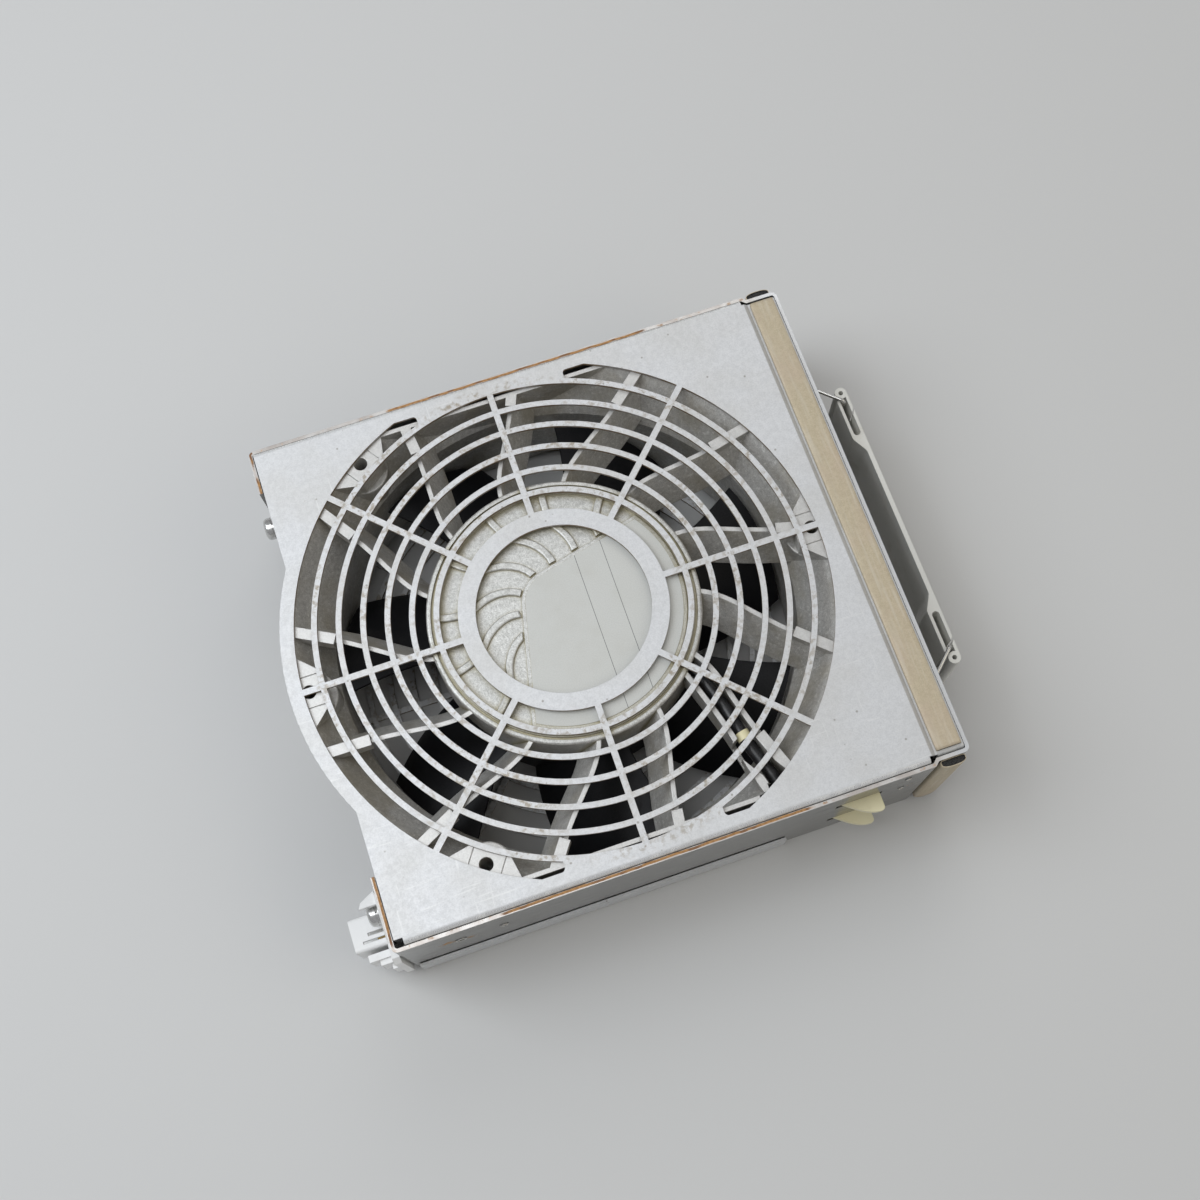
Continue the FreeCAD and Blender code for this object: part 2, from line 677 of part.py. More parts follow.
def motor_cup():
    z0, z1 = CUP_Z
    body = cyl(CUP_R, z0, z1)
    body = eased(body, 0.8, z1)
    groove = tube(40.2, 41.0, z1 - 0.8, z1 + 1).fuse(tube(38.9, 39.3, z1 - 0.4, z1 + 1))
    face = cyl(FACE_R, FACE_Z, z1 + 1)
    body = body.cut([groove, face])
    boss = cyl(11.5, FACE_Z - 0.5, SEAT_Z)
    return fuse([body, label_face(0, FACE_Z - 0.5, SEAT_Z), boss] + swirl_ribs())


def cable_notch():
    """Gap in the frame's edge where the sleeve leaves the channel."""
    across = turned(box(66, 90, -CHANNEL_W / 2, CHANNEL_W / 2, 41.5, 60), 302.0)
    return fuse([across, box(39.6, 47.6, -80, -71.0, 41.5, 60), box(36.2, 47.6, -80, -73.2, 41.5, 60)])


def lead_window():
    """Window in the cup wall where the leads come out."""
    return turned(box(36.5, 44.0, -3.2, 3.2, 43.4, 49.9), 314.8)


def fan_frame():
    env = fan_envelope()
    ring = env.cut(fan_bore())
    pads = []
    for a in LUG_ANGLES:
        land, boss = lug_pad(a)
        pads += [land.common(env).cut(cyl(BORE_R + 2.5, 0, 60)), boss.common(env).cut(cyl(BORE_R, 0, 60))]
    vane = guide_vane()
    pad = vane_pad()
    grown = []
    for i in range(VANES):
        a = 360.0 * i / VANES
        if i != CHANNEL_VANE:
            grown.append(turned(vane, a).common(env))
        grown.append(turned(pad, a).common(env))
    grown += [c.common(env) for c in cable_channel()]
    s = ring.fuse(pads + grown + [motor_cup()])
    s = s.cut(cyl(CUP_R - CUP_WALL, 30, CUP_Z[1] - CUP_TOP_T))
    holes = []
    for a in LUG_ANGLES:
        p = polar(LUG_PCD_R, a)
        holes += [cyl(LUG_HOLE_R, 0, 60, p.x, p.y)] + parting_lines(a)
    for a in SCREW_ANGLES:
        p = polar(LUG_PCD_R, a)
        holes.append(cyl(LUG_HOLE_R, 0, SCREW_BOSS_Z - 1, p.x, p.y))
    return s.cut(holes + screw_sinks() + [cable_notch(), lead_window()]).removeSplitter()


def fan_label():
    return label_face(1.2, SEAT_Z, SEAT_Z + LABEL_T)


# ---------------------------------------------------------------------------
# Fan: rotor
# ---------------------------------------------------------------------------
def blade_section(r, chord, pitch, sweep, rise):
    """Thin cambered aerofoil in the plane that faces the hub at radius r."""
    upper, lower = [], []
    steps = 6
    for i in range(steps + 1):
        u = i / steps
        x = (u - 0.5) * chord
        camber = 0.09 * chord * (1 - (2 * u - 1) ** 2)
        half = 1.15 * math.sqrt(max(1 - (2 * u - 1) ** 2, 0.0)) + 0.35
        upper.append((x, camber + half))
        lower.append((x, camber - half))
    out = []
    c = math.cos(math.radians(pitch))
    s = math.sin(math.radians(pitch))
    for pts in (upper, lower):
        out.append([V(r, x * c - y * s + sweep, rise + x * s + y * c) for x, y in pts])
    edges = []
    for pts in out:
        b = Part.BSplineCurve()
        b.interpolate(pts)
        edges.append(b.toShape())
    edges.append(Part.makeLine(out[0][0], out[1][0]))
    edges.append(Part.makeLine(out[0][-1], out[1][-1]))
    return Part.Wire(Part.__sortEdges__(edges))


def fan_blade():
    root = IMP_HUB_R - 2.5
    span = BLADE_TIP_R + 3.0 - root
    stations = ((root, 38.0, 39.0, 0.0), (root + 0.32 * span, 40.0, 34.0, 3.0),
                (root + 0.65 * span, 42.5, 29.5, 8.0), (root + span, 45.0, 26.0, 15.0))
    mid = (IMP_Z[0] + IMP_Z[1]) / 2 + 1.5
    wires = [blade_section(r, c, p, s, mid) for r, c, p, s in stations]
    blade = Part.makeLoft(wires, True, False)
    keep = cyl(BLADE_TIP_R, IMP_Z[0] + 1, IMP_Z[1] + 0.4).cut(cyl(IMP_HUB_R - 0.9, 0, 60))
    return blade.common(keep)


def impeller():
    z0, z1 = IMP_Z
    hub = eased(cyl(IMP_HUB_R, z0, z1), 2.5, z0)
    hub = hub.cut(cyl(IMP_HUB_R - IMP_HUB_T, z0 + 2.5, z1 + 1))
    boss = cyl(8.0, z0, z0 + 10)
    webs = []
    for i in range(6):
        web = box(7, IMP_HUB_R - 1, -0.8, 0.8, z0 + 1, z0 + 3.9)
        webs.append(turned(web, 60 * i + 15))
    blade = fan_blade()
    blades = [turned(blade, 360.0 * i / BLADES) for i in range(BLADES)]
    s = hub.fuse([boss] + webs + blades)
    return s.cut(cyl(SHAFT_R, z0 + 1.2, z1)).removeSplitter()


def rotor_shaft():
    s = cyl(SHAFT_R, IMP_Z[0] + 1.2, 47.4)
    s = s.makeChamfer(0.4, [e for e in s.Edges if e.BoundBox.ZMin > 47])
    return s.cut(tube(3.4, 6, 44.9, 45.7))


def shaft_clip():
    return tube(3.45, 6.2, 44.95, 45.65).cut(box(0, 10, -2.6, 2.6, 40, 50))


def ball_bearing(z):
    s = tube(SHAFT_R + RUN_FIT, BEARING_R, z, z + BEARING_H)
    grooves = [tube(5.8, 9.2, z - 1, z + 0.5), tube(5.8, 9.2, z + BEARING_H - 0.5, z + BEARING_H + 1)]
    return s.cut(grooves)


# ---------------------------------------------------------------------------
# Fan: stator, board and leads
# ---------------------------------------------------------------------------
def bearing_tube():
    s = tube(BEARING_R, TUBE_R, TUBE_Z[0], TUBE_Z[1])
    shoulder = tube(9.4, BEARING_R + 0.5, BEARING_Z[0] + BEARING_H, BEARING_Z[1])
    return fuse([s, shoulder])


def stator_core():
    z0, z1 = STATOR_Z
    parts = [tube(TUBE_R + 0.05, 18.0, z0, z1)]
    shoe = tube(29.5, STATOR_R, z0, z1)
    span = box(20, 40, -9.6, 9.6, z0 - 1, z1 + 1)
    for i in range(TEETH):
        a = 360.0 * i / TEETH
        parts.append(turned(box(17, 30.5, -2.4, 2.4, z0, z1), a))
        parts.append(turned(shoe.common(span), a))
    return fuse(parts)


def stator_windings():
    z0, z1 = STATOR_Z
    coil = box(18.6, 29.0, -5.4, 5.4, z0 - 3.0, z1 + 3.0)
    edges = [e for e in coil.Edges if e.BoundBox.XLength > 5]
    coil = coil.makeFillet(2.0, edges)
    wedge = Part.Face(Part.makePolygon([V(0, 0, 0), polar(60, -18.5), polar(60, 18.5), V(0, 0, 0)]))
    coil = coil.common(wedge.extrude(V(0, 0, 60)))
    coil = coil.cut(box(10, 40, -2.5, 2.5, z0 - 0.1, z1 + 0.1))
    return [turned(coil, 360.0 * i / TEETH).Solids[0] for i in range(TEETH)]


def circuit_board():
    s = tube(TUBE_R + 0.5, BOARD_R, BOARD_Z[0], BOARD_Z[1])
    return s.cut(turned(box(30, 45, -4, 4, 0, 60), -44))


def board_capacitors():
    caps = []
    for a, r, h in ((100, 26, 9.0), (140, 27, 9.0), (180, 26, 9.0)):
        p = polar(r, a)
        c = cyl(4.5, BOARD_Z[1], BOARD_Z[1] + h, p.x, p.y)
        caps.append(eased(c, 0.6, BOARD_Z[1] + h))
    return caps


def lead_route():
    """Centre line of the fan leads, from inside the motor cup to the plug."""
    z = LEAD_Z
    return [polar(36.5, 317.0, z - 2.8), polar(45.5, 315.4, z), polar(57.0, 309.4, z), polar(70.9, 303.8, z),
            polar(80.5, 301.9, z), V(43.8, -74.3, z - 0.8), V(38.5, -76.4, 43.0), V(28.0, -78.15, 35.0),
            V(10.0, -78.15, 31.0), V(-14.0, -78.15, 29.6), V(-38.0, -78.15, 27.0), V(-58.0, -77.6, 21.5),
            V(-67.5, -73.2, 15.8), V(-73.2, -71.5, 14.5)]


def lead_path(a, b):
    """Centre line of one lead, offset sideways by a and upwards by b."""
    mid = lead_route()
    path = []
    for i, p in enumerate(mid):
        t = mid[min(i + 1, len(mid) - 1)] - mid[max(i - 1, 0)]
        t.normalize()
        side = t.cross(UP)
        side.normalize()
        path.append(p + side * a + side.cross(t) * b)
    return path


def fan_harness():
    """Four leads inside a black sleeve."""
    parts = []
    step = LEAD_R + 0.02
    for a, b in ((1, 1), (-1, 1), (1, -1), (-1, -1)):
        parts.append(bent_wire(lead_path(a * step, b * step), LEAD_R, LEAD_BEND).Solids[0])
    mid = lead_route()
    run = mid[1:-2] + [(mid[-3] + mid[-2]) * 0.5]
    inner, outer = [bent_wire(run, r, LEAD_BEND) for r in SLEEVE_R]
    return parts + outer.cut(inner).Solids


def cable_clip():
    """Band round the sleeve, near the outer end of the channel."""
    a, b = lead_route()[2:4]
    way = b - a
    spot = a + way * 0.62
    way.normalize()
    ring = Part.makeCylinder(SLEEVE_R[1] + 0.3, 2.6, spot, way)
    return ring.cut(Part.makeCylinder(SLEEVE_R[1] + 0.02, 2.6, spot, way)).Solids


# ---------------------------------------------------------------------------
# Rear connector and fasteners
# ---------------------------------------------------------------------------
def rear_connector():
    """Blind-mate plug: flange, shroud with slots, stepped guide rib."""
    x = SHELL_X_REAR - 0.05
    flange = [V(x, -59.8, 33.0), V(x, -61.8, 35.5), V(x, -81.6, 35.5), V(x, -83.2, 33.0),
              V(x, -83.2, 5.5), V(x, -81.6, 3.5), V(x, -60.6, 3.5), V(x, -59.8, 5.5), V(x, -59.8, 33.0)]
    body = Part.Face(Part.makePolygon(flange)).extrude(V(-2.4, 0, 0))
    shroud = box(x - 14.0, x, -75.0, -64.4, 6.5, 22.0)
    shroud = shroud.makeFillet(1.0, [e for e in shroud.Edges if e.BoundBox.XLength > 5])
    steps = [box(x - 11.0, x, -78.6, -76.3, 8.0, 20.0), box(x - 8.0, x, -80.4, -78.5, 7.0, 19.0),
             box(x - 5.0, x, -82.2, -80.3, 6.0, 17.0)]
    tail = box(x, x + 5.0, -77.4, -65.6, 9.0, 20.0)
    ear = [V(x - 2.3, -60.2, 34.5), V(x - 7.0, -62.6, 34.5), V(x - 8.0, -64.4, 34.5), V(x - 8.0, -64.4, 34.5)]
    wedge = Part.Face(Part.makePolygon([ear[0], ear[1], ear[2], V(x - 2.3, -64.4, 34.5), ear[0]]))
    wedge = wedge.extrude(V(0, 0, -28.0))
    s = fuse([body, shroud, tail, wedge] + steps)
    mouth = box(x - 15.0, x - 4.0, -73.6, -65.8, 8.0, 20.5)
    slots = [box(x - 6.5, x - 2.6, -67.0, -66.0, 19.0, 23.0), box(x - 9.0, x - 2.4, -70.9, -69.9, 19.0, 23.0),
             box(x - 11.0, x - 3.0, -72.9, -72.1, 19.0, 23.0)]
    y, z = REAR_SCREW
    hole = Part.makeCylinder(SCREW_R + 0.3, 20, V(x - 12, -y, z), V(1, 0, 0))
    seat = Part.makeCylinder(HEAD_R + 1.3, 12, V(x - 2.4, -y, z), V(-1, 0, 0))
    pockets = []
    for yy in (-71.6, -67.8):
        for zz in (11.5, 14.5, 17.5):
            pockets.append(box(x - 15, x + 6, yy - 0.55, yy + 0.55, zz - 0.45, zz + 0.45))
    return s.cut([mouth, hole, seat] + slots + pockets)


def connector_contacts():
    pins = []
    x = SHELL_X_REAR
    for yy in (-71.6, -67.8):
        for zz in (11.5, 14.5, 17.5):
            pins.append(box(x - 7.0, x + 4.4, yy - 0.5, yy + 0.5, zz - 0.4, zz + 0.4))
    return pins


def rear_stack(side):
    """Outer face that a screw's washers bear on, per side."""
    return SHELL_X_REAR - (2.45 if side < 0 else 0.0)


def rear_screws():
    out = []
    y, z = REAR_SCREW
    for side in (1, -1):
        x = rear_stack(side) - 1.6
        shank = Part.makeCylinder(SCREW_R, 10.5, V(x, side * y, z), V(1, 0, 0))
        head = Part.makeCylinder(HEAD_R, HEAD_H, V(x - HEAD_H, side * y, z), V(1, 0, 0))
        rim = [e for e in head.Edges if e.BoundBox.XMax < x - HEAD_H + 0.01]
        head = head.makeFillet(1.5, rim)
        cross = []
        for dy, dz in ((2.4, 0.45), (0.45, 2.4)):
            cross.append(box(x - HEAD_H - 1, x - HEAD_H + 1.3, side * y - dy, side * y + dy, z - dz, z + dz))
        out.append(shank.fuse(head).cut(cross).removeSplitter().Solids[0])
    return out


def washers(r0, r1, t, off, split):
    out = []
    y, z = REAR_SCREW
    for side in (1, -1):
        x = rear_stack(side) - off
        w = Part.makeCylinder(r1, t, V(x - t, side * y, z), V(1, 0, 0))
        w = w.cut(Part.makeCylinder(r0, 4, V(x - t - 1, side * y, z), V(1, 0, 0)))
        if split:
            w = w.cut(box(x - 5, x + 5, side * y - 0.3, side * y + 0.3, z, z + 6))
        out.append(w.Solids[0])
    return out


def clinch_nuts():
    out = []
    y, z = REAR_SCREW
    for side in (1, -1):
        x = SHELL_X_REAR + SHELL_T
        n = Part.makeCylinder(3.2, 2.2, V(x, side * y, z), V(1, 0, 0))
        n = n.cut(Part.makeCylinder(SCREW_R + 0.02, 8, V(x - 3, side * y, z), V(1, 0, 0)))
        out.append(n.Solids[0])
    return out


def fan_screws():
    out = []
    for a in SCREW_ANGLES:
        p = polar(LUG_PCD_R, a, 0.02)
        head = Part.makeCone(4.1, 2.0, 2.1, p, UP)
        shank = cyl(2.0, 1.5, 13.0, p.x, p.y)
        cross = [box(p.x - 2, p.x + 2, p.y - 0.4, p.y + 0.4, -1, 1.2),
                 box(p.x - 0.4, p.x + 0.4, p.y - 2, p.y + 2, -1, 1.2)]
        out.append(head.fuse(shank).cut(cross).removeSplitter().Solids[0])
    return out


# ---------------------------------------------------------------------------
# Side latches
# ---------------------------------------------------------------------------
def latch_lever():
    """-Y lever: pivot boss, arm and two ramped fins that pass the wall."""
    px, py = LEVER_PIVOT
    z0, z1 = LEVER_Z
    wall = SHELL_HALF_W
    face = wall - SHELL_T - 0.3
    arm = slab([(60.2, -face, 0.8), (78.5, -face, 4.0), (px, -py - LEVER_BOSS_R, 0), (px, -py + 1.0, 0),
                (px - 9, -76.0, 5.0), (60.2, -78.2, 0.8)], z0, z1)
    window = box(64, 82, -90, -60, FIN_Z[0] + 5.5, FIN_Z[1] - 5.5)
    boss = cyl(LEVER_BOSS_R, z0, z1, px, -py)
    fins = []
    for z in FIN_Z:
        x0, x1 = FIN_X
        tip = -wall - FIN_OUT
        a = V(x0 - 0.8, -wall + 0.6, z)
        path = [V(x0, -wall, z), V(x0 + 5.0, -wall - 3.65, z), V(x1 - 1.4, tip, z)]
        curve = Part.BSplineCurve()
        curve.interpolate([a] + path)
        turn = Part.Arc(path[-1], V(x1 - 0.35, tip + 0.35, z), V(x1, tip + 1.3, z)).toShape()
        back = V(x1, -79.6, z)
        close = V(x0 - 0.8, -79.6, z)
        edges = [curve.toShape(), turn, Part.makeLine(V(x1, tip + 1.3, z), back),
                 Part.makeLine(back, close), Part.makeLine(close, a)]
        fin = Part.Face(Part.Wire(edges)).extrude(V(0, 0, FIN_T))
        fin.translate(V(0, 0, -FIN_T / 2))
        fins.append(fin)
    s = fuse([arm.cut(window), boss] + fins)
    return s.cut(cyl(LEVER_PIN_R + 0.05, 0, 60, px, -py))


def latch_pins():
    px, py = LEVER_PIVOT
    pin = cyl(LEVER_PIN_R, EAR_Z[0] - EAR_T, EAR_Z[1] + EAR_T, px, -py)
    head = cyl(2.4, EAR_Z[1] + EAR_T, EAR_Z[1] + EAR_T + 0.8, px, -py)
    tail = cyl(2.2, EAR_Z[0] - EAR_T - 0.6, EAR_Z[0] - EAR_T, px, -py)
    s = fuse([pin, head, tail])
    return [s.Solids[0], mirrored(s).Solids[0]]


def latch_springs():
    """Close-wound torsion coils round the pins, between lever and ear."""
    px, py = LEVER_PIVOT
    turns = []
    for i in range(3):
        ring = Part.makeTorus(SPRING_R, SPRING_WIRE_R, V(px, -py, LEVER_Z[1] + 0.5 + i * 1.9 * SPRING_WIRE_R), UP)
        turns.append(ring)
    z = LEVER_Z[1] + 0.5
    tail = Part.makeCylinder(SPRING_WIRE_R, 9.0, V(px, -py - SPRING_R, z), V(-1, 0, 0))
    coil = turns[0].fuse(turns[1:] + [tail])
    return [coil.Solids[0], mirrored(coil).Solids[0]]


def pivot_bracket(side):
    """Folded bracket behind the front wall: web and two drilled ears."""
    x1 = SHELL_X_FRONT - SHELL_T
    x0 = LINK_HINGE[0] - 3.0
    hy = GRIP_Y + side * LINK_HINGE[1]
    px, py = LEVER_PIVOT
    near = hy - side * 4.0
    far = side * (SHELL_HALF_W - SHELL_T - GAP - JOGGLE_IN - COVER_T - 0.6)
    y0, y1 = min(near, far), max(near, far)
    web = box(x1 - EAR_T, x1, y0, y1, EAR_Z[0] - EAR_T, EAR_Z[1] + EAR_T)
    ears = [box(x0, x1, y0, y1, EAR_Z[0] - EAR_T, EAR_Z[0]), box(x0, x1, y0, y1, EAR_Z[1], EAR_Z[1] + EAR_T)]
    s = fuse([web] + ears)
    cuts = [cyl(LEVER_PIN_R, 0, 60, px, side * py), cyl(WIRE_R + 0.06, 0, 60, LINK_HINGE[0], hy)]
    for z in leg_heights():
        ya = hy + side * 2.0
        yb = hy - side * 5.0
        cuts.append(box(x1 - 3, x1 + 1, min(ya, yb), max(ya, yb), z - 1.7, z + 1.7))
    return s.cut(cuts).Solids[0]


# ---------------------------------------------------------------------------
# Pull grip and links
# ---------------------------------------------------------------------------
def grip_half(side):
    """Plan outline of one half of the grip, from the middle to the barrel."""
    xo = GRIP_OUT_X
    xi = xo - GRIP_WALL
    xs = xi - GRIP_SLOT_W
    xn = xs - GRIP_WALL
    xm = xo - GRIP_MID_T
    ye = GRIP_SLOT_END
    yb = GRIP_BARREL_Y
    z0, z1 = GRIP_Z
    body = slab([(xo, 0, 0), (xo, yb, 0), (xn, yb, 0), (xn, ye - 1.0, 2.2), (xm, ye - 6.0, 3.0), (xm, 0, 0)], z0, z1)
    slot = slab([(xi, ye, 1.1), (xi, yb, 0), (xs, yb, 0), (xs, ye, 1.1)], z0 - 1, z1 + 1)
    mouth = box(xn - 1, xs + 0.01, yb - 2.4, yb + 1, z0 - 1, z1 + 1)
    barrel = cyl(GRIP_BARREL_R, z0, z1, GRIP_BARREL_X, yb)
    bore = cyl(GRIP_HOLE_R, z1 - 12, z1 + 1, GRIP_BARREL_X, yb)
    y, lean, half = GRIP_SPLIT[0] if side > 0 else GRIP_SPLIT[1]
    split = slab([(xo + 1, y + half, 0), (xi - 0.4, y + half - lean, 0),
                  (xi - 0.4, y - half - lean, 0), (xo + 1, y - half, 0)], z1 - 9, z1 + 1)
    s = body.cut([slot, mouth]).fuse(barrel)
    s = s.cut([bore, split]).removeSplitter()
    if side < 0:
        s = mirrored(s)
    s.translate(V(0, GRIP_Y, 0))
    return s


def pull_grip():
    s = fuse([grip_half(1), grip_half(-1)])
    return s


def wire_link(side):
    """Bent wire: pin in the grip slot, two legs, out-turned hinge ends."""
    zb, zt = leg_heights()
    px = LINK_PIN[0]
    py = GRIP_Y + side * LINK_PIN[1]
    hx = LINK_HINGE[0]
    hy = GRIP_Y + side * LINK_HINGE[1]
    pts = [V(hx, hy, EAR_Z[1] + EAR_T + HINGE_END), V(hx, hy, zt), V(px, py, zt), V(px, py, zb),
           V(hx, hy, zb), V(hx, hy, EAR_Z[0] - EAR_T - HINGE_END)]
    return bent_wire(pts, WIRE_R, 1.1)


# ---------------------------------------------------------------------------
# Write one file per node
# ---------------------------------------------------------------------------
lever = latch_lever()
save("outer_shell", outer_shell())
save("top_cover", top_cover())
save("bottom_cover", bottom_cover())
save("emi_gasket_top", emi_gasket_top())
save("emi_gasket_bottom", emi_gasket_bottom())
save("emi_gasket_sides", emi_gasket_sides())
save("fan_frame", fan_frame())
save("fan_label", fan_label())
save("impeller", impeller())
save("rotor_yoke", tube(YOKE_R[0], YOKE_R[1], ROTOR_RING_Z[0], ROTOR_RING_Z[1]))
save("rotor_magnet", tube(MAGNET_R[0], MAGNET_R[1], ROTOR_RING_Z[0], ROTOR_RING_Z[1]))
save("rotor_shaft", rotor_shaft())
save("shaft_clip", shaft_clip())
save("bearing_lower", ball_bearing(BEARING_Z[0]))
save("bearing_upper", ball_bearing(BEARING_Z[1]))
save("bearing_tube", bearing_tube())
save("stator_core", stator_core())
save("stator_windings", stator_windings())
save("fan_circuit_board", circuit_board())
save("board_capacitors", board_capacitors())
save("fan_harness", fan_harness())
save("cable_clip", cable_clip())
save("rear_connector", rear_connector())
save("connector_contacts", connector_contacts())
save("rear_screws", rear_screws())
save("flat_washers", washers(SCREW_R + 0.1, 4.2, 0.8, 0.0, False))
save("spring_washers", washers(SCREW_R + 0.1, 3.5, 0.8, 0.8, True))
save("clinch_nuts", clinch_nuts())
save("fan_screws", fan_screws())
save("pivot_brackets", [pivot_bracket(1), pivot_bracket(-1)])
save("latch_pins", latch_pins())
save("latch_springs", latch_springs())
save("latch_lever_right", lever)
save("latch_lever_left", mirrored(lever))
save("pull_grip", pull_grip())
save("wire_link_right", wire_link(-1))
save("wire_link_left", wire_link(1))
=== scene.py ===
import bmesh
import math
import bpy
from mathutils import Matrix, Vector


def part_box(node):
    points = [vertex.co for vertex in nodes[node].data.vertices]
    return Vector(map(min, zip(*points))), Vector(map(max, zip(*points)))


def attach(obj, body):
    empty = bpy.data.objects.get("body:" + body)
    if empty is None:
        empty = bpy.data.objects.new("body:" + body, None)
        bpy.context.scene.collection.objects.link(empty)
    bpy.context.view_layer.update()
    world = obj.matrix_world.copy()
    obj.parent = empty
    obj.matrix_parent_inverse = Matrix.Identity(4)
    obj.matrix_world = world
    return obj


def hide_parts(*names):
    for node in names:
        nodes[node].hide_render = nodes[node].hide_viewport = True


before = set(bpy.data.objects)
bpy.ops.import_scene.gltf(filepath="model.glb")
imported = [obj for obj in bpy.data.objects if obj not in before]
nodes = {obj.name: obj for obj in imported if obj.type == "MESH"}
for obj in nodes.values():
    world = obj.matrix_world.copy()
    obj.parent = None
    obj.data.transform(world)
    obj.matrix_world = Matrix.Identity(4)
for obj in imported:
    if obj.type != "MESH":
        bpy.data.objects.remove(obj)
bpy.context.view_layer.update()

scene = bpy.context.scene

# ---------------------------------------------------------------------------
# Top and bottom covers
# Stamped from 1 mm galvanised sheet, with the finger guard cut through them and
# their edges folded. The zinc is matt and fine-grained, and the cut walls have browned.
# ---------------------------------------------------------------------------


def feed(tree, socket, v):
    """Set a socket to a value, or join another node's socket to it."""
    if isinstance(v, bpy.types.NodeSocket):
        tree.links.new(v, socket)
    else:
        socket.default_value = v


def put(tree, kind, inputs=None, **props):
    """One node. Inputs take a number, a colour or another node's socket."""
    n = tree.nodes.new(kind)
    for k, v in props.items():
        setattr(n, k, v)
    for k, v in (inputs or {}).items():
        feed(tree, n.inputs[k], v)
    return n


def effect(name, ins, outs):
    """Empty shader group with typed sockets; returns tree, its inputs and its output node."""
    t = bpy.data.node_groups.new(name, "ShaderNodeTree")
    kinds = {"v": "NodeSocketVector", "f": "NodeSocketFloat", "c": "NodeSocketColor"}
    for label, kind, value in ins:
        s = t.interface.new_socket(label, in_out="INPUT", socket_type=kinds[kind])
        if value is not None:
            s.default_value = value
    for label, kind in outs:
        t.interface.new_socket(label, in_out="OUTPUT", socket_type=kinds[kind])
    return t, t.nodes.new("NodeGroupInput").outputs, t.nodes.new("NodeGroupOutput")


def use(tree, name, inputs=None):
    """Place a shared effect in a material and give back its outputs."""
    return put(tree, "ShaderNodeGroup", inputs, node_tree=bpy.data.node_groups[name]).outputs


def span(tree, value, lo, hi, a=0.0, b=1.0):
    """Value taken from lo..hi to a..b, smooth at both ends."""
    ends = {"Value": value, "From Min": lo, "From Max": hi, "To Min": a, "To Max": b}
    return put(tree, "ShaderNodeMapRange", ends, interpolation_type="SMOOTHSTEP").outputs[0]


def mix(tree, fac, a, b):
    """Colour a turning to colour b."""
    return put(tree, "ShaderNodeMix", {0: fac, 6: a, 7: b}, data_type="RGBA").outputs[2]


def calc(tree, op, a, b=None):
    """One step of arithmetic on one or two values."""
    values = {0: a} if b is None else {0: a, 1: b}
    return put(tree, "ShaderNodeMath", values, operation=op).outputs[0]


def both(tree, *masks):
    """Product of several masks."""
    out = masks[0]
    for m in masks[1:]:
        out = calc(tree, "MULTIPLY", out, m)
    return out


def noise(tree, vector, scale, detail=2.0, rough=0.5):
    """Cloudy value from 0 to 1. Scale counts the clouds per metre."""
    look = {"Vector": vector, "Scale": scale, "Detail": detail, "Roughness": rough}
    return put(tree, "ShaderNodeTexNoise", look).outputs[0]


def finish_of(name, **sockets):
    """New Principled material; returns it with its tree, shader and coordinate sockets."""
    m = bpy.data.materials.new(name)
    m.use_nodes = True
    t = m.node_tree
    shader = t.nodes["Principled BSDF"]
    for k, v in sockets.items():
        shader.inputs[k.replace("_", " ")].default_value = v
    coord = t.nodes.new("ShaderNodeTexCoord").outputs
    return m, t, shader, coord["Object"], coord["Normal"]


def surface(tree, shader, color=None, rough=None, metal=None, height=None,
            strength=0.2, depth=0.0001, ease=None):
    """Join colours, masks and bump to the shader. Ease rounds sharp edges by that radius."""
    for socket, v in (("Base Color", color), ("Roughness", rough), ("Metallic", metal)):
        if v is not None:
            tree.links.new(v, shader.inputs[socket])
    normal = put(tree, "ShaderNodeBevel", {"Radius": ease}, samples=4).outputs[0] if ease else None
    if height is not None:
        n = put(tree, "ShaderNodeBump", {"Height": height, "Strength": strength, "Distance": depth})
        if normal is not None:
            tree.links.new(normal, n.inputs["Normal"])
        normal = n.outputs[0]
    if normal is not None:
        tree.links.new(normal, shader.inputs["Normal"])


def dress(names, mat):
    """Give a material to the named nodes."""
    for name in names.split():
        o = nodes[name]
        o.data.materials.clear()
        o.data.materials.append(mat)


# Fine grain: tone from light to dark, scattered pin holes, and a height.
t, gi, go = effect("Fine grain", [("Vector", "v", None), ("Scale", "f", 2200.0)],
                   [("Tone", "f"), ("Pits", "f"), ("Height", "f")])
fine = noise(t, gi[0], gi[1], 2.0, 0.6)
mid = noise(t, gi[0], calc(t, "MULTIPLY", gi[1], 0.3), 2.0)
cell = put(t, "ShaderNodeTexVoronoi", {"Vector": gi[0], "Scale": calc(t, "MULTIPLY", gi[1], 0.12)})
chance = put(t, "ShaderNodeSeparateColor", {"Color": cell.outputs["Color"]}).outputs[0]
tone = calc(t, "ADD", calc(t, "MULTIPLY", fine, 0.6), calc(t, "MULTIPLY", mid, 0.4))
t.links.new(tone, go.inputs[0])
holes = both(t, span(t, cell.outputs["Distance"], 0.13, 0.06), span(t, chance, 0.72, 0.74))
t.links.new(holes, go.inputs[1])
t.links.new(fine, go.inputs[2])

# Soft patches: where dust, oil or oxide has settled.
t, gi, go = effect("Soft patches", [("Vector", "v", None), ("Scale", "f", 40.0),
                                    ("Low", "f", 0.45), ("High", "f", 0.7)], [("Mask", "f")])
t.links.new(span(t, noise(t, gi[0], gi[1], 5.0, 0.62), gi[2], gi[3]), go.inputs[0])

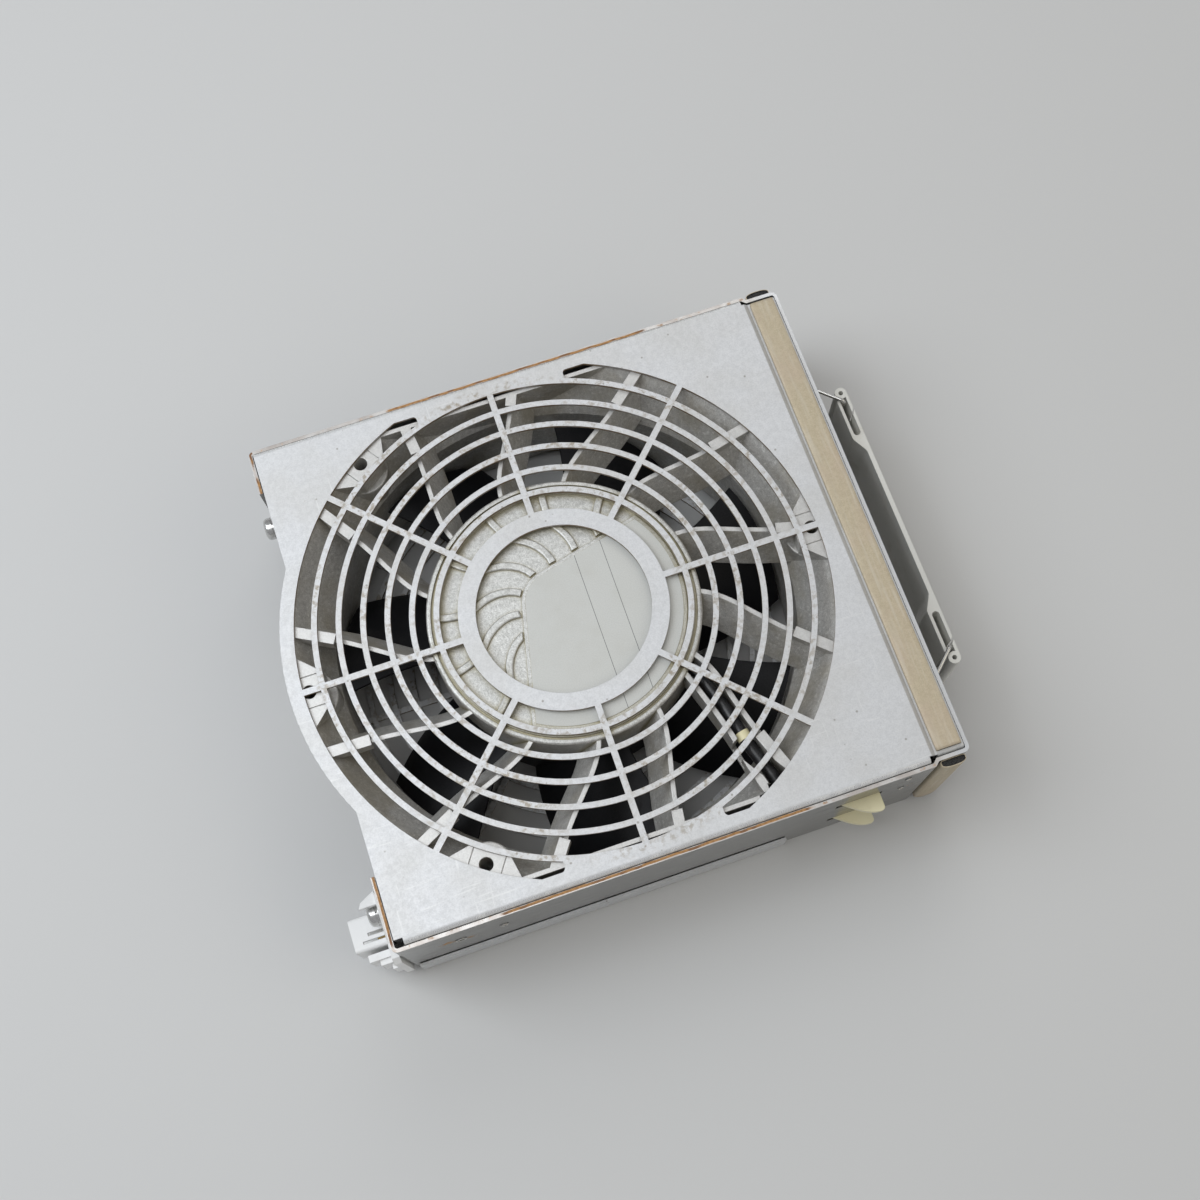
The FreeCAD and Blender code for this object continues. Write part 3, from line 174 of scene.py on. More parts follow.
# Rub marks: faint straight scratches in two directions, only in some places.
t, gi, go = effect("Rub marks", [("Vector", "v", None)], [("Mask", "f")])
marks = None
for turn, pull in ((0.45, (160.0, 9.0, 9.0)), (-1.05, (11.0, 210.0, 11.0))):
    m = put(t, "ShaderNodeMapping", {"Vector": gi[0], "Rotation": (0, 0, turn), "Scale": pull})
    line = span(t, noise(t, m.outputs[0], 6.0, 1.0), 0.68, 0.73)
    marks = line if marks is None else calc(t, "MAXIMUM", marks, line)
t.links.new(both(t, marks, span(t, noise(t, gi[0], 22.0, 1.0), 0.50, 0.62)), go.inputs[0])

# Facing: how far a face looks up, and how level it is either way.
t, gi, go = effect("Facing", [("Normal", "v", None)], [("Up", "f"), ("Level", "f")])
up = put(t, "ShaderNodeSeparateXYZ", {"Vector": gi[0]}).outputs[2]
t.links.new(up, go.inputs[0])
t.links.new(calc(t, "ABSOLUTE", up), go.inputs[1])

# Place: distance from the fan's axis, and the plain coordinates in metres.
t, gi, go = effect("Place", [("Vector", "v", None)],
                   [("Radius", "f"), ("X", "f"), ("Y", "f"), ("Z", "f")])
xyz = put(t, "ShaderNodeSeparateXYZ", {"Vector": gi[0]}).outputs
flat = put(t, "ShaderNodeCombineXYZ", {"X": xyz[0], "Y": xyz[1]}).outputs[0]
away = put(t, "ShaderNodeVectorMath", {0: flat}, operation="LENGTH").outputs["Value"]
t.links.new(away, go.inputs[0])
for i in range(3):
    t.links.new(xyz[i], go.inputs[i + 1])

COVER_DARK, COVER_LIGHT = (0.595, 0.602, 0.612, 1), (0.705, 0.712, 0.724, 1)
COVER_HAZE, COVER_PIT = (0.50, 0.48, 0.43, 1), (0.26, 0.24, 0.21, 1)
COVER_RUB, FOLD_GLINT = (0.80, 0.80, 0.79, 1), (0.86, 0.86, 0.84, 1)
GUARD_GRIME, CUT_BROWN = (0.30, 0.25, 0.18, 1), (0.24, 0.165, 0.095, 1)
GUARD_R, GUARD_Y = 0.0835, 0.0778        # the guard's openings lie inside this radius and width
BARS_IN, BARS_OUT = 0.0345, 0.0800       # radius where the worn bars begin and end
FOLD_Y = (0.0785, 0.0795)                # the folded side edges start here

galvanised, t, shader, P, N = finish_of("Galvanised sheet", Specular_IOR_Level=0.5)
grain = use(t, "Fine grain", {"Vector": P, "Scale": 2300.0})
haze = use(t, "Soft patches", {"Vector": P, "Scale": 30.0, "Low": 0.46, "High": 0.74})
cloud = noise(t, P, 55.0, 3.0)
rubs = use(t, "Rub marks", {"Vector": P})
face = use(t, "Facing", {"Normal": N})
at = use(t, "Place", {"Vector": P})
base = mix(t, span(t, grain["Tone"], 0.30, 0.70), COVER_DARK, COVER_LIGHT)
base = mix(t, span(t, cloud, 0.35, 0.70, 0.0, 0.22), base, COVER_HAZE)
base = mix(t, calc(t, "MULTIPLY", haze["Mask"], 0.14), base, COVER_HAZE)
base = mix(t, calc(t, "MULTIPLY", grain["Pits"], 0.70), base, COVER_PIT)
base = mix(t, calc(t, "MULTIPLY", rubs["Mask"], 0.35), base, COVER_RUB)
wide = calc(t, "ABSOLUTE", at["Y"])
inside = both(t, span(t, at["Radius"], GUARD_R + 0.0006, GUARD_R),
              span(t, wide, GUARD_Y + 0.0005, GUARD_Y))
speck = use(t, "Soft patches", {"Vector": P, "Scale": 560.0, "Low": 0.47, "High": 0.66})
bars = both(t, span(t, at["Radius"], BARS_IN, BARS_IN + 0.002),
            span(t, at["Radius"], BARS_OUT, BARS_OUT - 0.003))
worn = span(t, noise(t, P, 40.0, 2.0), 0.36, 0.62, 0.18, 0.80)
base = mix(t, both(t, bars, speck["Mask"], worn), base, GUARD_GRIME)
# Painted highlight: bright spots mixed into the colour along the folded side edges stand in for
# light caught by small dents in the bend; the fold also gets a lower roughness.
fold = both(t, span(t, face["Up"], 0.15, 0.50), span(t, face["Up"], 0.985, 0.90),
            span(t, wide, *FOLD_Y))
fold_glints = span(t, noise(t, P, 420.0, 2.0), 0.52, 0.62)
base = mix(t, both(t, fold, span(t, fold_glints, 0.0, 1.0, 0.35, 0.85)), base, FOLD_GLINT)
steep = span(t, face["Level"], 0.55, 0.30)
brown = both(t, steep, inside, span(t, noise(t, P, 120.0, 3.0), 0.30, 0.55, 0.35, 0.95))
base = mix(t, brown, base, CUT_BROWN)
rough = calc(t, "SUBTRACT", span(t, grain["Tone"], 0.25, 0.75, 0.54, 0.42),
             calc(t, "MULTIPLY", fold, 0.20))
surface(t, shader, base, rough, metal=calc(t, "SUBTRACT", 0.42, calc(t, "MULTIPLY", brown, 0.3)),
        height=calc(t, "SUBTRACT", grain["Height"], calc(t, "MULTIPLY", grain["Pits"], 0.8)),
        strength=0.16, depth=0.00010, ease=0.00018)
dress("top_cover bottom_cover", galvanised)

# ---------------------------------------------------------------------------
# Wrap-around shell and pivot brackets
# Rolled zinc-coated steel, 1.2 mm, brighter and smoother than the covers. The
# sheared top edge has rusted along the middle of both sides and at the clinches.
# ---------------------------------------------------------------------------

# Sheared edge: a ragged rusty core between two smears of zinc. Depth runs from 0 to 1
# through the sheet, and Rust says how much of the edge has rusted.
RUST_DARK, RUST_LIGHT = (0.30, 0.150, 0.050, 1), (0.47, 0.260, 0.105, 1)
RUST_DEEP = (0.17, 0.085, 0.050, 1)
CUT_DARK, CUT_LIGHT = (0.56, 0.515, 0.48, 1), (0.72, 0.70, 0.675, 1)

t, gi, go = effect("Sheared edge", [("Vector", "v", None), ("Rust", "f", 0.5), ("Depth", "f", 0.5)],
                   [("Color", "c"), ("Rusty", "f")])
broad = noise(t, gi[0], 75.0, 3.0)
fine = noise(t, gi[0], 1100.0, 2.0)
drift = noise(t, gi[0], 210.0, 3.0)
level = calc(t, "ADD", gi[1], calc(t, "MULTIPLY", calc(t, "SUBTRACT", broad, 0.5), 1.3))
ragged = calc(t, "ADD", gi[2], calc(t, "MULTIPLY", calc(t, "SUBTRACT", drift, 0.5), 0.55))
core = both(t, span(t, ragged, 0.22, 0.36), span(t, ragged, 1.02, 0.84))
rusty = both(t, span(t, level, 0.42, 0.60), core)
specks = both(t, span(t, noise(t, gi[0], 520.0, 2.0), 0.58, 0.66), core, span(t, gi[1], 0.05, 0.30))
rusty = calc(t, "MAXIMUM", rusty, calc(t, "MULTIPLY", specks, 0.75))
rust = mix(t, span(t, fine, 0.30, 0.70), RUST_DARK, RUST_LIGHT)
rust = mix(t, span(t, drift, 0.50, 0.66, 0.0, 0.75), rust, RUST_DEEP)
bare = mix(t, span(t, drift, 0.35, 0.65), CUT_DARK, CUT_LIGHT)
t.links.new(mix(t, rusty, bare, rust), go.inputs[0])
t.links.new(rusty, go.inputs[1])

# Painted reflection: both shell tones are darker than bare zinc, standing in for the dark
# surroundings that the walls reflect.
SHELL_DARK, SHELL_LIGHT = (0.215, 0.217, 0.215, 1), (0.300, 0.302, 0.298, 1)
SHELL_STAIN, SHELL_RUB = (0.17, 0.155, 0.13, 1), (0.55, 0.55, 0.53, 1)
FRESH_DARK, FRESH_LIGHT = (0.62, 0.63, 0.64, 1), (0.74, 0.75, 0.76, 1)
CLINCH_RUST = (0.42, 0.21, 0.06, 1)
WALL_Y, REAR_X, SHEET_T = 0.0825, -0.0790, 0.0012    # outer faces, thickness
EDGE_Z = (0.0500, 0.0505)                        # level faces above this are the cut edge
RUST_RIGHT = (-0.052, -0.040, 0.040, 0.062)      # where rust starts and ends along each side
RUST_LEFT = (-0.038, -0.026, 0.042, 0.072)
RUST_LEAST, RUST_MOST, RUST_REAR = 0.22, 0.85, 0.62
RUST_END_X = (0.0988, 0.0978)                    # no rust on the front wall's edge
FRESH_X = (0.0905, 0.0975)                       # towards the front the cut is still bright
CLINCH_STAINS = ((-0.0645, 0.0350, 0.0036), (-0.0572, 0.0322, 0.0026),
                 (0.0835, 0.0325, 0.0014))       # x, z and size on the right wall

rolled_zinc, t, shader, P, N = finish_of("Rolled zinc shell", Specular_IOR_Level=0.5)
grain = use(t, "Fine grain", {"Vector": P, "Scale": 1900.0})
haze = use(t, "Soft patches", {"Vector": P, "Scale": 26.0, "Low": 0.42, "High": 0.70})
rubs = use(t, "Rub marks", {"Vector": P})
face = use(t, "Facing", {"Normal": N})
at = use(t, "Place", {"Vector": P})
drawn_way = put(t, "ShaderNodeMapping", {"Vector": P, "Scale": (1.0, 1.0, 14.0)}).outputs[0]
drawn = noise(t, drawn_way, 120.0, 4.0)
base = mix(t, span(t, grain["Tone"], 0.3, 0.7), SHELL_DARK, SHELL_LIGHT)
base = mix(t, calc(t, "MULTIPLY", haze["Mask"], 0.30), base, SHELL_STAIN)
base = mix(t, span(t, drawn, 0.45, 0.75, 0.0, 0.25), base, SHELL_STAIN)
base = mix(t, calc(t, "MULTIPLY", rubs["Mask"], 0.25), base, SHELL_RUB)
sides = []
for a, b, c, d in (RUST_RIGHT, RUST_LEFT):
    sides.append(both(t, span(t, at["X"], a, b), span(t, at["X"], d, c)))
left = span(t, at["Y"], -0.01, 0.01)
amount = calc(t, "ADD", both(t, calc(t, "SUBTRACT", 1.0, left), sides[0]), both(t, left, sides[1]))
rear = span(t, at["X"], REAR_X + 0.0022, REAR_X + 0.0012, 0.0, RUST_REAR)
amount = calc(t, "MAXIMUM", calc(t, "MULTIPLY", amount, RUST_MOST), rear)
amount = both(t, calc(t, "MAXIMUM", amount, RUST_LEAST), span(t, at["X"], *RUST_END_X))
from_side = calc(t, "SUBTRACT", WALL_Y, calc(t, "ABSOLUTE", at["Y"]))
from_rear = calc(t, "SUBTRACT", at["X"], REAR_X)
through = calc(t, "DIVIDE", calc(t, "MINIMUM", from_side, from_rear), SHEET_T)
edge = use(t, "Sheared edge", {"Vector": P, "Rust": amount, "Depth": through})
fresh_cut = mix(t, grain["Tone"], FRESH_DARK, FRESH_LIGHT)
edge_color = mix(t, span(t, at["X"], *FRESH_X), edge["Color"], fresh_cut)
cut = both(t, span(t, face["Up"], 0.5, 0.8), span(t, at["Z"], *EDGE_Z))
spots = None
for x, z, size in CLINCH_STAINS:
    off = put(t, "ShaderNodeVectorMath", {0: P, 1: (x, -WALL_Y - 0.0002, z)}, operation="DISTANCE")
    one = span(t, off.outputs["Value"], size, size * 0.35)
    spots = one if spots is None else calc(t, "MAXIMUM", spots, one)
tiny = use(t, "Soft patches", {"Vector": P, "Scale": 560.0, "Low": 0.44, "High": 0.56})
stain = both(t, spots, tiny["Mask"])
base = mix(t, stain, base, CLINCH_RUST)
base = mix(t, cut, base, edge_color)
dull = calc(t, "MAXIMUM", both(t, cut, edge["Rusty"]), stain)
rough = calc(t, "ADD", span(t, drawn, 0.3, 0.7, 0.16, 0.27), calc(t, "MULTIPLY", dull, 0.40))
metal = calc(t, "SUBTRACT", 0.90, calc(t, "MULTIPLY", calc(t, "MAXIMUM", dull, cut), 0.65))
surface(t, shader, base, rough, metal, drawn, strength=0.10, depth=0.0001, ease=0.00022)
dress("outer_shell pivot_brackets", rolled_zinc)

# ---------------------------------------------------------------------------
# Clinch rims
# The covers' edges are pressed into the shell at small round clinch points. Each
# leaves a bright burnished rim standing a fraction of a millimetre off the wall.
# ---------------------------------------------------------------------------
RIMS = (("large", ((-0.0605, 0.034),), 0.00165), ("small", ((-0.047, 0.034),), 0.00122),
        ("fine", ((0.0805, 0.0465), (0.0805, 0.033)), 0.00078))    # name, x and z of each, radius
RIM_WIRE = 0.00016
RIM_Y = 0.0827                           # the rims' middle, just off the wall
RIM_DARK, RIM_LIGHT = (0.56, 0.555, 0.53, 1), (0.72, 0.715, 0.69, 1)
RIM_WORN = (0.40, 0.26, 0.12, 1)

burnished, t, shader, P, N = finish_of("Burnished zinc", Specular_IOR_Level=0.5)
grain = use(t, "Fine grain", {"Vector": P, "Scale": 2600.0})
worn = use(t, "Soft patches", {"Vector": P, "Scale": 700.0, "Low": 0.50, "High": 0.62})
base = mix(t, span(t, grain["Tone"], 0.3, 0.7), RIM_DARK, RIM_LIGHT)
base = mix(t, calc(t, "MULTIPLY", worn["Mask"], 0.5), base, RIM_WORN)
surface(t, shader, base, rough=span(t, grain["Tone"], 0.3, 0.7, 0.20, 0.34),
        metal=calc(t, "SUBTRACT", 0.95, calc(t, "MULTIPLY", worn["Mask"], 0.4)),
        height=grain["Height"], strength=0.1, depth=0.00005)


def rims_on_points():
    """Geometry Nodes tree: a wire ring on each point, laid across the point's own direction."""
    t = bpy.data.node_groups.new("Rims on points", "GeometryNodeTree")
    for label, kind in (("Geometry", "Geometry"), ("Rim radius", "Float"), ("Rim height", "Float"),
                        ("Material", "Material")):
        t.interface.new_socket(label, in_out="INPUT", socket_type="NodeSocket" + kind)
    t.interface.new_socket("Geometry", in_out="OUTPUT", socket_type="NodeSocketGeometry")
    gi = t.nodes.new("NodeGroupInput").outputs
    go = t.nodes.new("NodeGroupOutput").inputs
    circle = "GeometryNodeCurvePrimitiveCircle"
    ring = put(t, circle, {"Resolution": 28, "Radius": gi["Rim radius"]}).outputs["Curve"]
    wire = put(t, circle, {"Resolution": 8, "Radius": gi["Rim height"]}).outputs["Curve"]
    rim = put(t, "GeometryNodeCurveToMesh", {"Curve": ring, "Profile Curve": wire}).outputs["Mesh"]
    way = put(t, "GeometryNodeInputNamedAttribute", {"Name": "way"}, data_type="FLOAT_VECTOR")
    turn = put(t, "FunctionNodeAlignEulerToVector", {"Vector": way.outputs["Attribute"]}, axis="Z")
    on = put(t, "GeometryNodeInstanceOnPoints", {"Points": gi["Geometry"], "Instance": rim,
                                                 "Rotation": turn.outputs["Rotation"]})
    real = put(t, "GeometryNodeRealizeInstances", {0: on.outputs[0]})
    paint = put(t, "GeometryNodeSetMaterial", {0: real.outputs[0], "Material": gi["Material"]})
    t.links.new(paint.outputs[0], go[0])
    return t


def grown_piece(name, points, ways, tree, values, body):
    """Run a Geometry Nodes tree on loose points and keep the result as a plain mesh on a body."""
    me = bpy.data.meshes.new(name + "_points")
    me.from_pydata(points, [], [])
    directions = me.attributes.new("way", "FLOAT_VECTOR", "POINT").data
    for i, way in enumerate(ways):
        directions[i].vector = way
    host = bpy.data.objects.new(name + "_points", me)
    scene.collection.objects.link(host)
    mod = host.modifiers.new("grow", "NODES")
    mod.node_group = tree
    for item in tree.interface.items_tree:
        if item.item_type == "SOCKET" and item.in_out == "INPUT" and item.name in values:
            mod[item.identifier] = values[item.name]
    dg = bpy.context.evaluated_depsgraph_get()
    dg.update()
    made = bpy.data.meshes.new_from_object(host.evaluated_get(dg))
    made.name = name
    bpy.data.objects.remove(host)
    made.polygons.foreach_set("use_smooth", [True] * len(made.polygons))
    o = bpy.data.objects.new(name, made)
    scene.collection.objects.link(o)
    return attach(o, body)


rims = rims_on_points()
for label, places, radius in RIMS:
    points = [(x, side * RIM_Y, z) for x, z in places for side in (-1, 1)]
    ways = [(0, side, 0) for _ in places for side in (-1, 1)]
    grown_piece("clinch_rims_" + label, points, ways, rims,
                {"Rim radius": radius, "Rim height": RIM_WIRE, "Material": burnished}, "housing")

# ---------------------------------------------------------------------------
# Fan frame
# One aluminium die casting: flared ring, thirteen leaning vanes and motor cup.
# Bead-blasted pale on top, with brown dust left on the walls below, and painted shade in the
# corners and beside the hub's ribs.
# ---------------------------------------------------------------------------
CAST_TOP_DARK, CAST_TOP_LIGHT = (0.545, 0.54, 0.525, 1), (0.66, 0.655, 0.64, 1)
CAST_HUB_DARK, CAST_HUB_LIGHT = (0.42, 0.42, 0.40, 1), (0.72, 0.72, 0.70, 1)
CAST_WALL_DARK, CAST_WALL_LIGHT = (0.40, 0.39, 0.37, 1), (0.64, 0.63, 0.605, 1)
CAST_DUST, CAST_CORNER_SHADE = (0.30, 0.255, 0.165, 1), (0.10, 0.085, 0.055, 1)
CAST_FLECK, HUB_RIB_SHADE = (0.80, 0.79, 0.76, 1), (0.36, 0.315, 0.18, 1)
HUB_R = (0.0434, 0.0422)                 # the motor cup's face begins inside this radius
DIRTY_Z = (0.0500, 0.0420)               # below this the level faces are as dirty as the walls

die_cast, t, shader, P, N = finish_of("Bead-blasted casting", Specular_IOR_Level=0.5)
grain = use(t, "Fine grain", {"Vector": P, "Scale": 2700.0})
face = use(t, "Facing", {"Normal": N})
at = use(t, "Place", {"Vector": P})
flow = use(t, "Soft patches", {"Vector": P, "Scale": 60.0, "Low": 0.42, "High": 0.68})
fleck = use(t, "Soft patches", {"Vector": P, "Scale": 750.0, "Low": 0.56, "High": 0.66})
hub = span(t, at["Radius"], *HUB_R)
level = span(t, face["Up"], 0.55, 0.85)
low = span(t, at["Z"], *DIRTY_Z)
top = mix(t, span(t, grain["Tone"], 0.28, 0.72), CAST_TOP_DARK, CAST_TOP_LIGHT)
top = mix(t, hub, top, mix(t, span(t, grain["Tone"], 0.30, 0.70), CAST_HUB_DARK, CAST_HUB_LIGHT))
wall = mix(t, span(t, grain["Tone"], 0.30, 0.70), CAST_WALL_DARK, CAST_WALL_LIGHT)
wall = mix(t, both(t, fleck["Mask"], 0.60), wall, CAST_FLECK)
wall = mix(t, both(t, flow["Mask"], 0.45), wall, CAST_DUST)
# Painted shade: ambient occlusion darkens the corners and crevices with a dark brown, broken up by
# noise.
corner = put(t, "ShaderNodeAmbientOcclusion", {"Distance": 0.0035}, samples=6).outputs["AO"]
corner_shade = span(t, corner, 0.62, 0.22)
off_top = calc(t, "SUBTRACT", 1.0, level)
base = mix(t, calc(t, "MAXIMUM", off_top, both(t, low, 0.8)), top, wall)
shade_mottle = span(t, noise(t, P, 90.0, 3.0), 0.35, 0.65, 0.15, 0.70)
base = mix(t, both(t, corner_shade, shade_mottle), base, CAST_CORNER_SHADE)
# Painted shade: a golden brown in the hollows beside the hub's ribs, found by ambient occlusion,
# stands in for their shaded slopes.
base = mix(t, both(t, hub, span(t, corner, 0.82, 0.50), 0.75), base, HUB_RIB_SHADE)
blast = calc(t, "ADD", grain["Height"], both(t, hub, noise(t, P, 1500.0, 2.0), 1.6))
rough = calc(t, "SUBTRACT", span(t, grain["Tone"], 0.2, 0.8, 0.36, 0.48),
             calc(t, "MULTIPLY", off_top, 0.05))
surface(t, shader, base, rough, metal=calc(t, "SUBTRACT", 0.60, calc(t, "MULTIPLY", off_top, 0.40)),
        height=blast, strength=0.40, depth=0.00014, ease=0.00028)
dress("fan_frame", die_cast)

# ---------------------------------------------------------------------------
# Fan label
# Pale metallised film on the raised land of the motor cup, with two printed rules
# and nothing written between them.
# ---------------------------------------------------------------------------
RULE_X, RULE_HALF = (0.0085, 0.01755), 0.000085      # where the rules run, half their width
FILM_DARK, FILM_LIGHT = (0.545, 0.55, 0.525, 1), (0.600, 0.605, 0.58, 1)
FILM_SMUDGE, RULE_INK = (0.46, 0.45, 0.40, 1), (0.055, 0.055, 0.06, 1)

film, t, shader, P, N = finish_of("Plain label film", Specular_IOR_Level=0.5)
weave = noise(t, P, 3000.0, 2.0)
smudge = use(t, "Soft patches", {"Vector": P, "Scale": 70.0, "Low": 0.45, "High": 0.75})
at = use(t, "Place", {"Vector": P})
base = mix(t, span(t, weave, 0.3, 0.7), FILM_DARK, FILM_LIGHT)
base = mix(t, calc(t, "MULTIPLY", smudge["Mask"], 0.25), base, FILM_SMUDGE)
rules = None
for x in RULE_X:
    away = calc(t, "ABSOLUTE", calc(t, "SUBTRACT", at["X"], x))
    one = span(t, away, RULE_HALF * 1.25, RULE_HALF * 0.75)
    rules = one if rules is None else calc(t, "MAXIMUM", rules, one)
base = mix(t, calc(t, "MULTIPLY", rules, 0.85), base, RULE_INK)
surface(t, shader, base, rough=span(t, weave, 0.3, 0.7, 0.36, 0.46), height=weave,
        strength=0.10, depth=0.00004)
shader.inputs["Metallic"].default_value = 0.12
dress("fan_label", film)

# ---------------------------------------------------------------------------
# Motor inside the cup
# Laminated core with nine wound teeth on a brass bearing tube, a driver board above
# it, two ball bearings, and the steel yoke and magnet ring that turn with the shaft.
# ---------------------------------------------------------------------------
METAL_DULL = (0.25, 0.22, 0.18, 1)


def metal_finish(name, low, high, rough):
    """Bare or plated metal between two tones, with a fine grain and dull patches."""
    m, t, shader, P, N = finish_of(name, Metallic=0.95)
    grain = use(t, "Fine grain", {"Vector": P, "Scale": 1600.0})
    haze = use(t, "Soft patches", {"Vector": P, "Scale": 190.0, "Low": 0.50, "High": 0.72})
    base = mix(t, span(t, grain["Tone"], 0.3, 0.7), low, high)
    base = mix(t, calc(t, "MULTIPLY", haze["Mask"], 0.2), base, METAL_DULL)
    surface(t, shader, base, rough=span(t, grain["Tone"], 0.2, 0.8, rough + 0.06, rough - 0.05),
            height=grain["Height"], strength=0.08, depth=0.00005, ease=0.00012)
    return m


def moulded_finish(name, low, high, rough, grime, amount, depth=0.00005):
    """Moulded plastic between two tones, finely sparked, with some grime in patches."""
    m, t, shader, P, N = finish_of(name, Specular_IOR_Level=0.45)
    spark = noise(t, P, 2400.0, 2.0)
    haze = use(t, "Soft patches", {"Vector": P, "Scale": 90.0, "Low": 0.50, "High": 0.75})
    base = mix(t, span(t, noise(t, P, 30.0, 2.0), 0.35, 0.65), low, high)
    base = mix(t, calc(t, "MULTIPLY", haze["Mask"], amount), base, grime)
    surface(t, shader, base, rough=span(t, spark, 0.3, 0.7, rough - 0.05, rough + 0.07),
            height=spark, strength=0.16, depth=depth, ease=0.00025)
    return m


turned_steel = metal_finish("Turned steel", (0.45, 0.45, 0.45, 1), (0.56, 0.56, 0.56, 1), 0.28)
brass = metal_finish("Brass", (0.60, 0.42, 0.17, 1), (0.72, 0.53, 0.24, 1), 0.27)
copper = metal_finish("Enamelled copper wire", (0.44, 0.17, 0.065, 1), (0.60, 0.26, 0.105, 1), 0.30)
black_plastic = moulded_finish("Black glass-filled plastic", (0.010, 0.010, 0.012, 1),
                               (0.020, 0.020, 0.023, 1), 0.40, (0.07, 0.062, 0.05, 1), 0.55,
                               depth=0.00008)
board_green = moulded_finish("Driver board", (0.02, 0.09, 0.045, 1), (0.03, 0.12, 0.06, 1), 0.35,
                             (0.05, 0.06, 0.03, 1), 0.3)

# Core steel: a stack of 0.5 mm sheets, so the rim shows fine level lines.
core_steel, t, shader, P, N = finish_of("Laminated core steel", Metallic=0.85)
waves = put(t, "ShaderNodeTexWave", {"Vector": P, "Scale": 318.0, "Distortion": 0.0},
            bands_direction="Z")
sheets = waves.outputs["Fac"]
base = mix(t, sheets, (0.10, 0.10, 0.11, 1), (0.27, 0.27, 0.28, 1))
surface(t, shader, base, rough=span(t, sheets, 0.0, 1.0, 0.50, 0.38), height=sheets,
        strength=0.5, depth=0.0001)
dress("stator_core", core_steel)
dress("rotor_yoke rotor_shaft shaft_clip bearing_lower bearing_upper", turned_steel)
dress("bearing_tube connector_contacts", brass)
dress("stator_windings", copper)
dress("board_capacitors rotor_magnet", black_plastic)
dress("fan_circuit_board", board_green)

# Winding wire: turns lie side by side along each tooth, with painted shade in the grooves between
# them.
TURN_PITCH = 0.0007
t = copper.node_tree
shader = t.nodes["Principled BSDF"]
P = t.nodes.new("ShaderNodeTexCoord").outputs["Object"]
at = use(t, "Place", {"Vector": P})
phase = calc(t, "MULTIPLY", at["Radius"], math.pi / TURN_PITCH)
turns = calc(t, "ABSOLUTE", calc(t, "SINE", phase))
bright = shader.inputs["Base Color"].links[0].from_socket
shaded_turns = mix(t, span(t, turns, 0.0, 0.5, 0.75, 0.0), bright, (0.10, 0.035, 0.015, 1))
surface(t, shader, shaded_turns, height=turns, strength=0.7, depth=0.0002)

# ---------------------------------------------------------------------------
# Impeller
# Seven wide blades moulded in one with the hub, in black glass-filled plastic.
# Pale dust has gathered along the leading edges and towards the tips.
# ---------------------------------------------------------------------------
HUB_EDGE, BLADE_TIP = 0.046, 0.071       # dust grows from the first radius to the second

blade_black, t, shader, P, N = finish_of("Dusty impeller plastic", Specular_IOR_Level=0.28)
at = use(t, "Place", {"Vector": P})
spark = noise(t, P, 2200.0, 2.0)
film_dust = use(t, "Soft patches", {"Vector": P, "Scale": 110.0, "Low": 0.44, "High": 0.70})
upright = put(t, "ShaderNodeMapping", {"Vector": P, "Scale": (1.0, 1.0, 0.15)}).outputs[0]
streaks = noise(t, upright, 260.0, 3.0)
base = mix(t, span(t, spark, 0.3, 0.7), (0.006, 0.006, 0.0075, 1), (0.012, 0.012, 0.014, 1))
dusty = both(t, film_dust["Mask"], span(t, at["Radius"], HUB_EDGE, BLADE_TIP, 0.25, 1.0),
             span(t, streaks, 0.40, 0.62))
base = mix(t, both(t, dusty, 0.07), base, (0.14, 0.13, 0.115, 1))
rough = calc(t, "ADD", span(t, spark, 0.3, 0.7, 0.44, 0.54), calc(t, "MULTIPLY", dusty, 0.25))
surface(t, shader, base, rough, height=spark, strength=0.10, depth=0.00005)
dress("impeller", blade_black)

# ---------------------------------------------------------------------------
# Fan cable and its band
# Four leads in a black shrink sleeve, laid in the casting's channel, led over its
# edge and along the shell to the plug. A cream band holds the sleeve's seam shut.
# ---------------------------------------------------------------------------
sleeve_black, t, shader, P, N = finish_of("Black shrink sleeve", Specular_IOR_Level=0.5)
spark = noise(t, P, 1800.0, 2.0)
wrinkle = noise(t, P, 420.0, 3.0)
haze = use(t, "Soft patches", {"Vector": P, "Scale": 130.0, "Low": 0.50, "High": 0.72})
base = mix(t, span(t, wrinkle, 0.35, 0.65), (0.010, 0.010, 0.011, 1), (0.022, 0.022, 0.024, 1))
base = mix(t, calc(t, "MULTIPLY", haze["Mask"], 0.35), base, (0.075, 0.068, 0.055, 1))
surface(t, shader, base, rough=span(t, spark, 0.3, 0.7, 0.26, 0.40), height=wrinkle,
        strength=0.30, depth=0.00015)
dress("fan_harness", sleeve_black)
cream = moulded_finish("Cream acetal", (0.84, 0.77, 0.49, 1), (0.88, 0.82, 0.56, 1), 0.35,
                       (0.55, 0.47, 0.27, 1), 0.25)
dress("cable_clip", cream)

# ---------------------------------------------------------------------------
# Rear plug
# Blind-mating plug in white plastic with brass contacts, screwed to the rear wall
# through flat and spring washers, with clinched nuts behind.
# ---------------------------------------------------------------------------
plug_white = moulded_finish("White plug plastic", (0.87, 0.87, 0.86, 1), (0.91, 0.91, 0.90, 1),
                            0.38, (0.47, 0.43, 0.35, 1), 0.35)
dress("rear_connector", plug_white)
zinc_plate = metal_finish("Zinc-plated screw", (0.56, 0.56, 0.55, 1), (0.73, 0.73, 0.72, 1), 0.24)
dress("rear_screws flat_washers spring_washers fan_screws clinch_nuts latch_pins", zinc_plate)

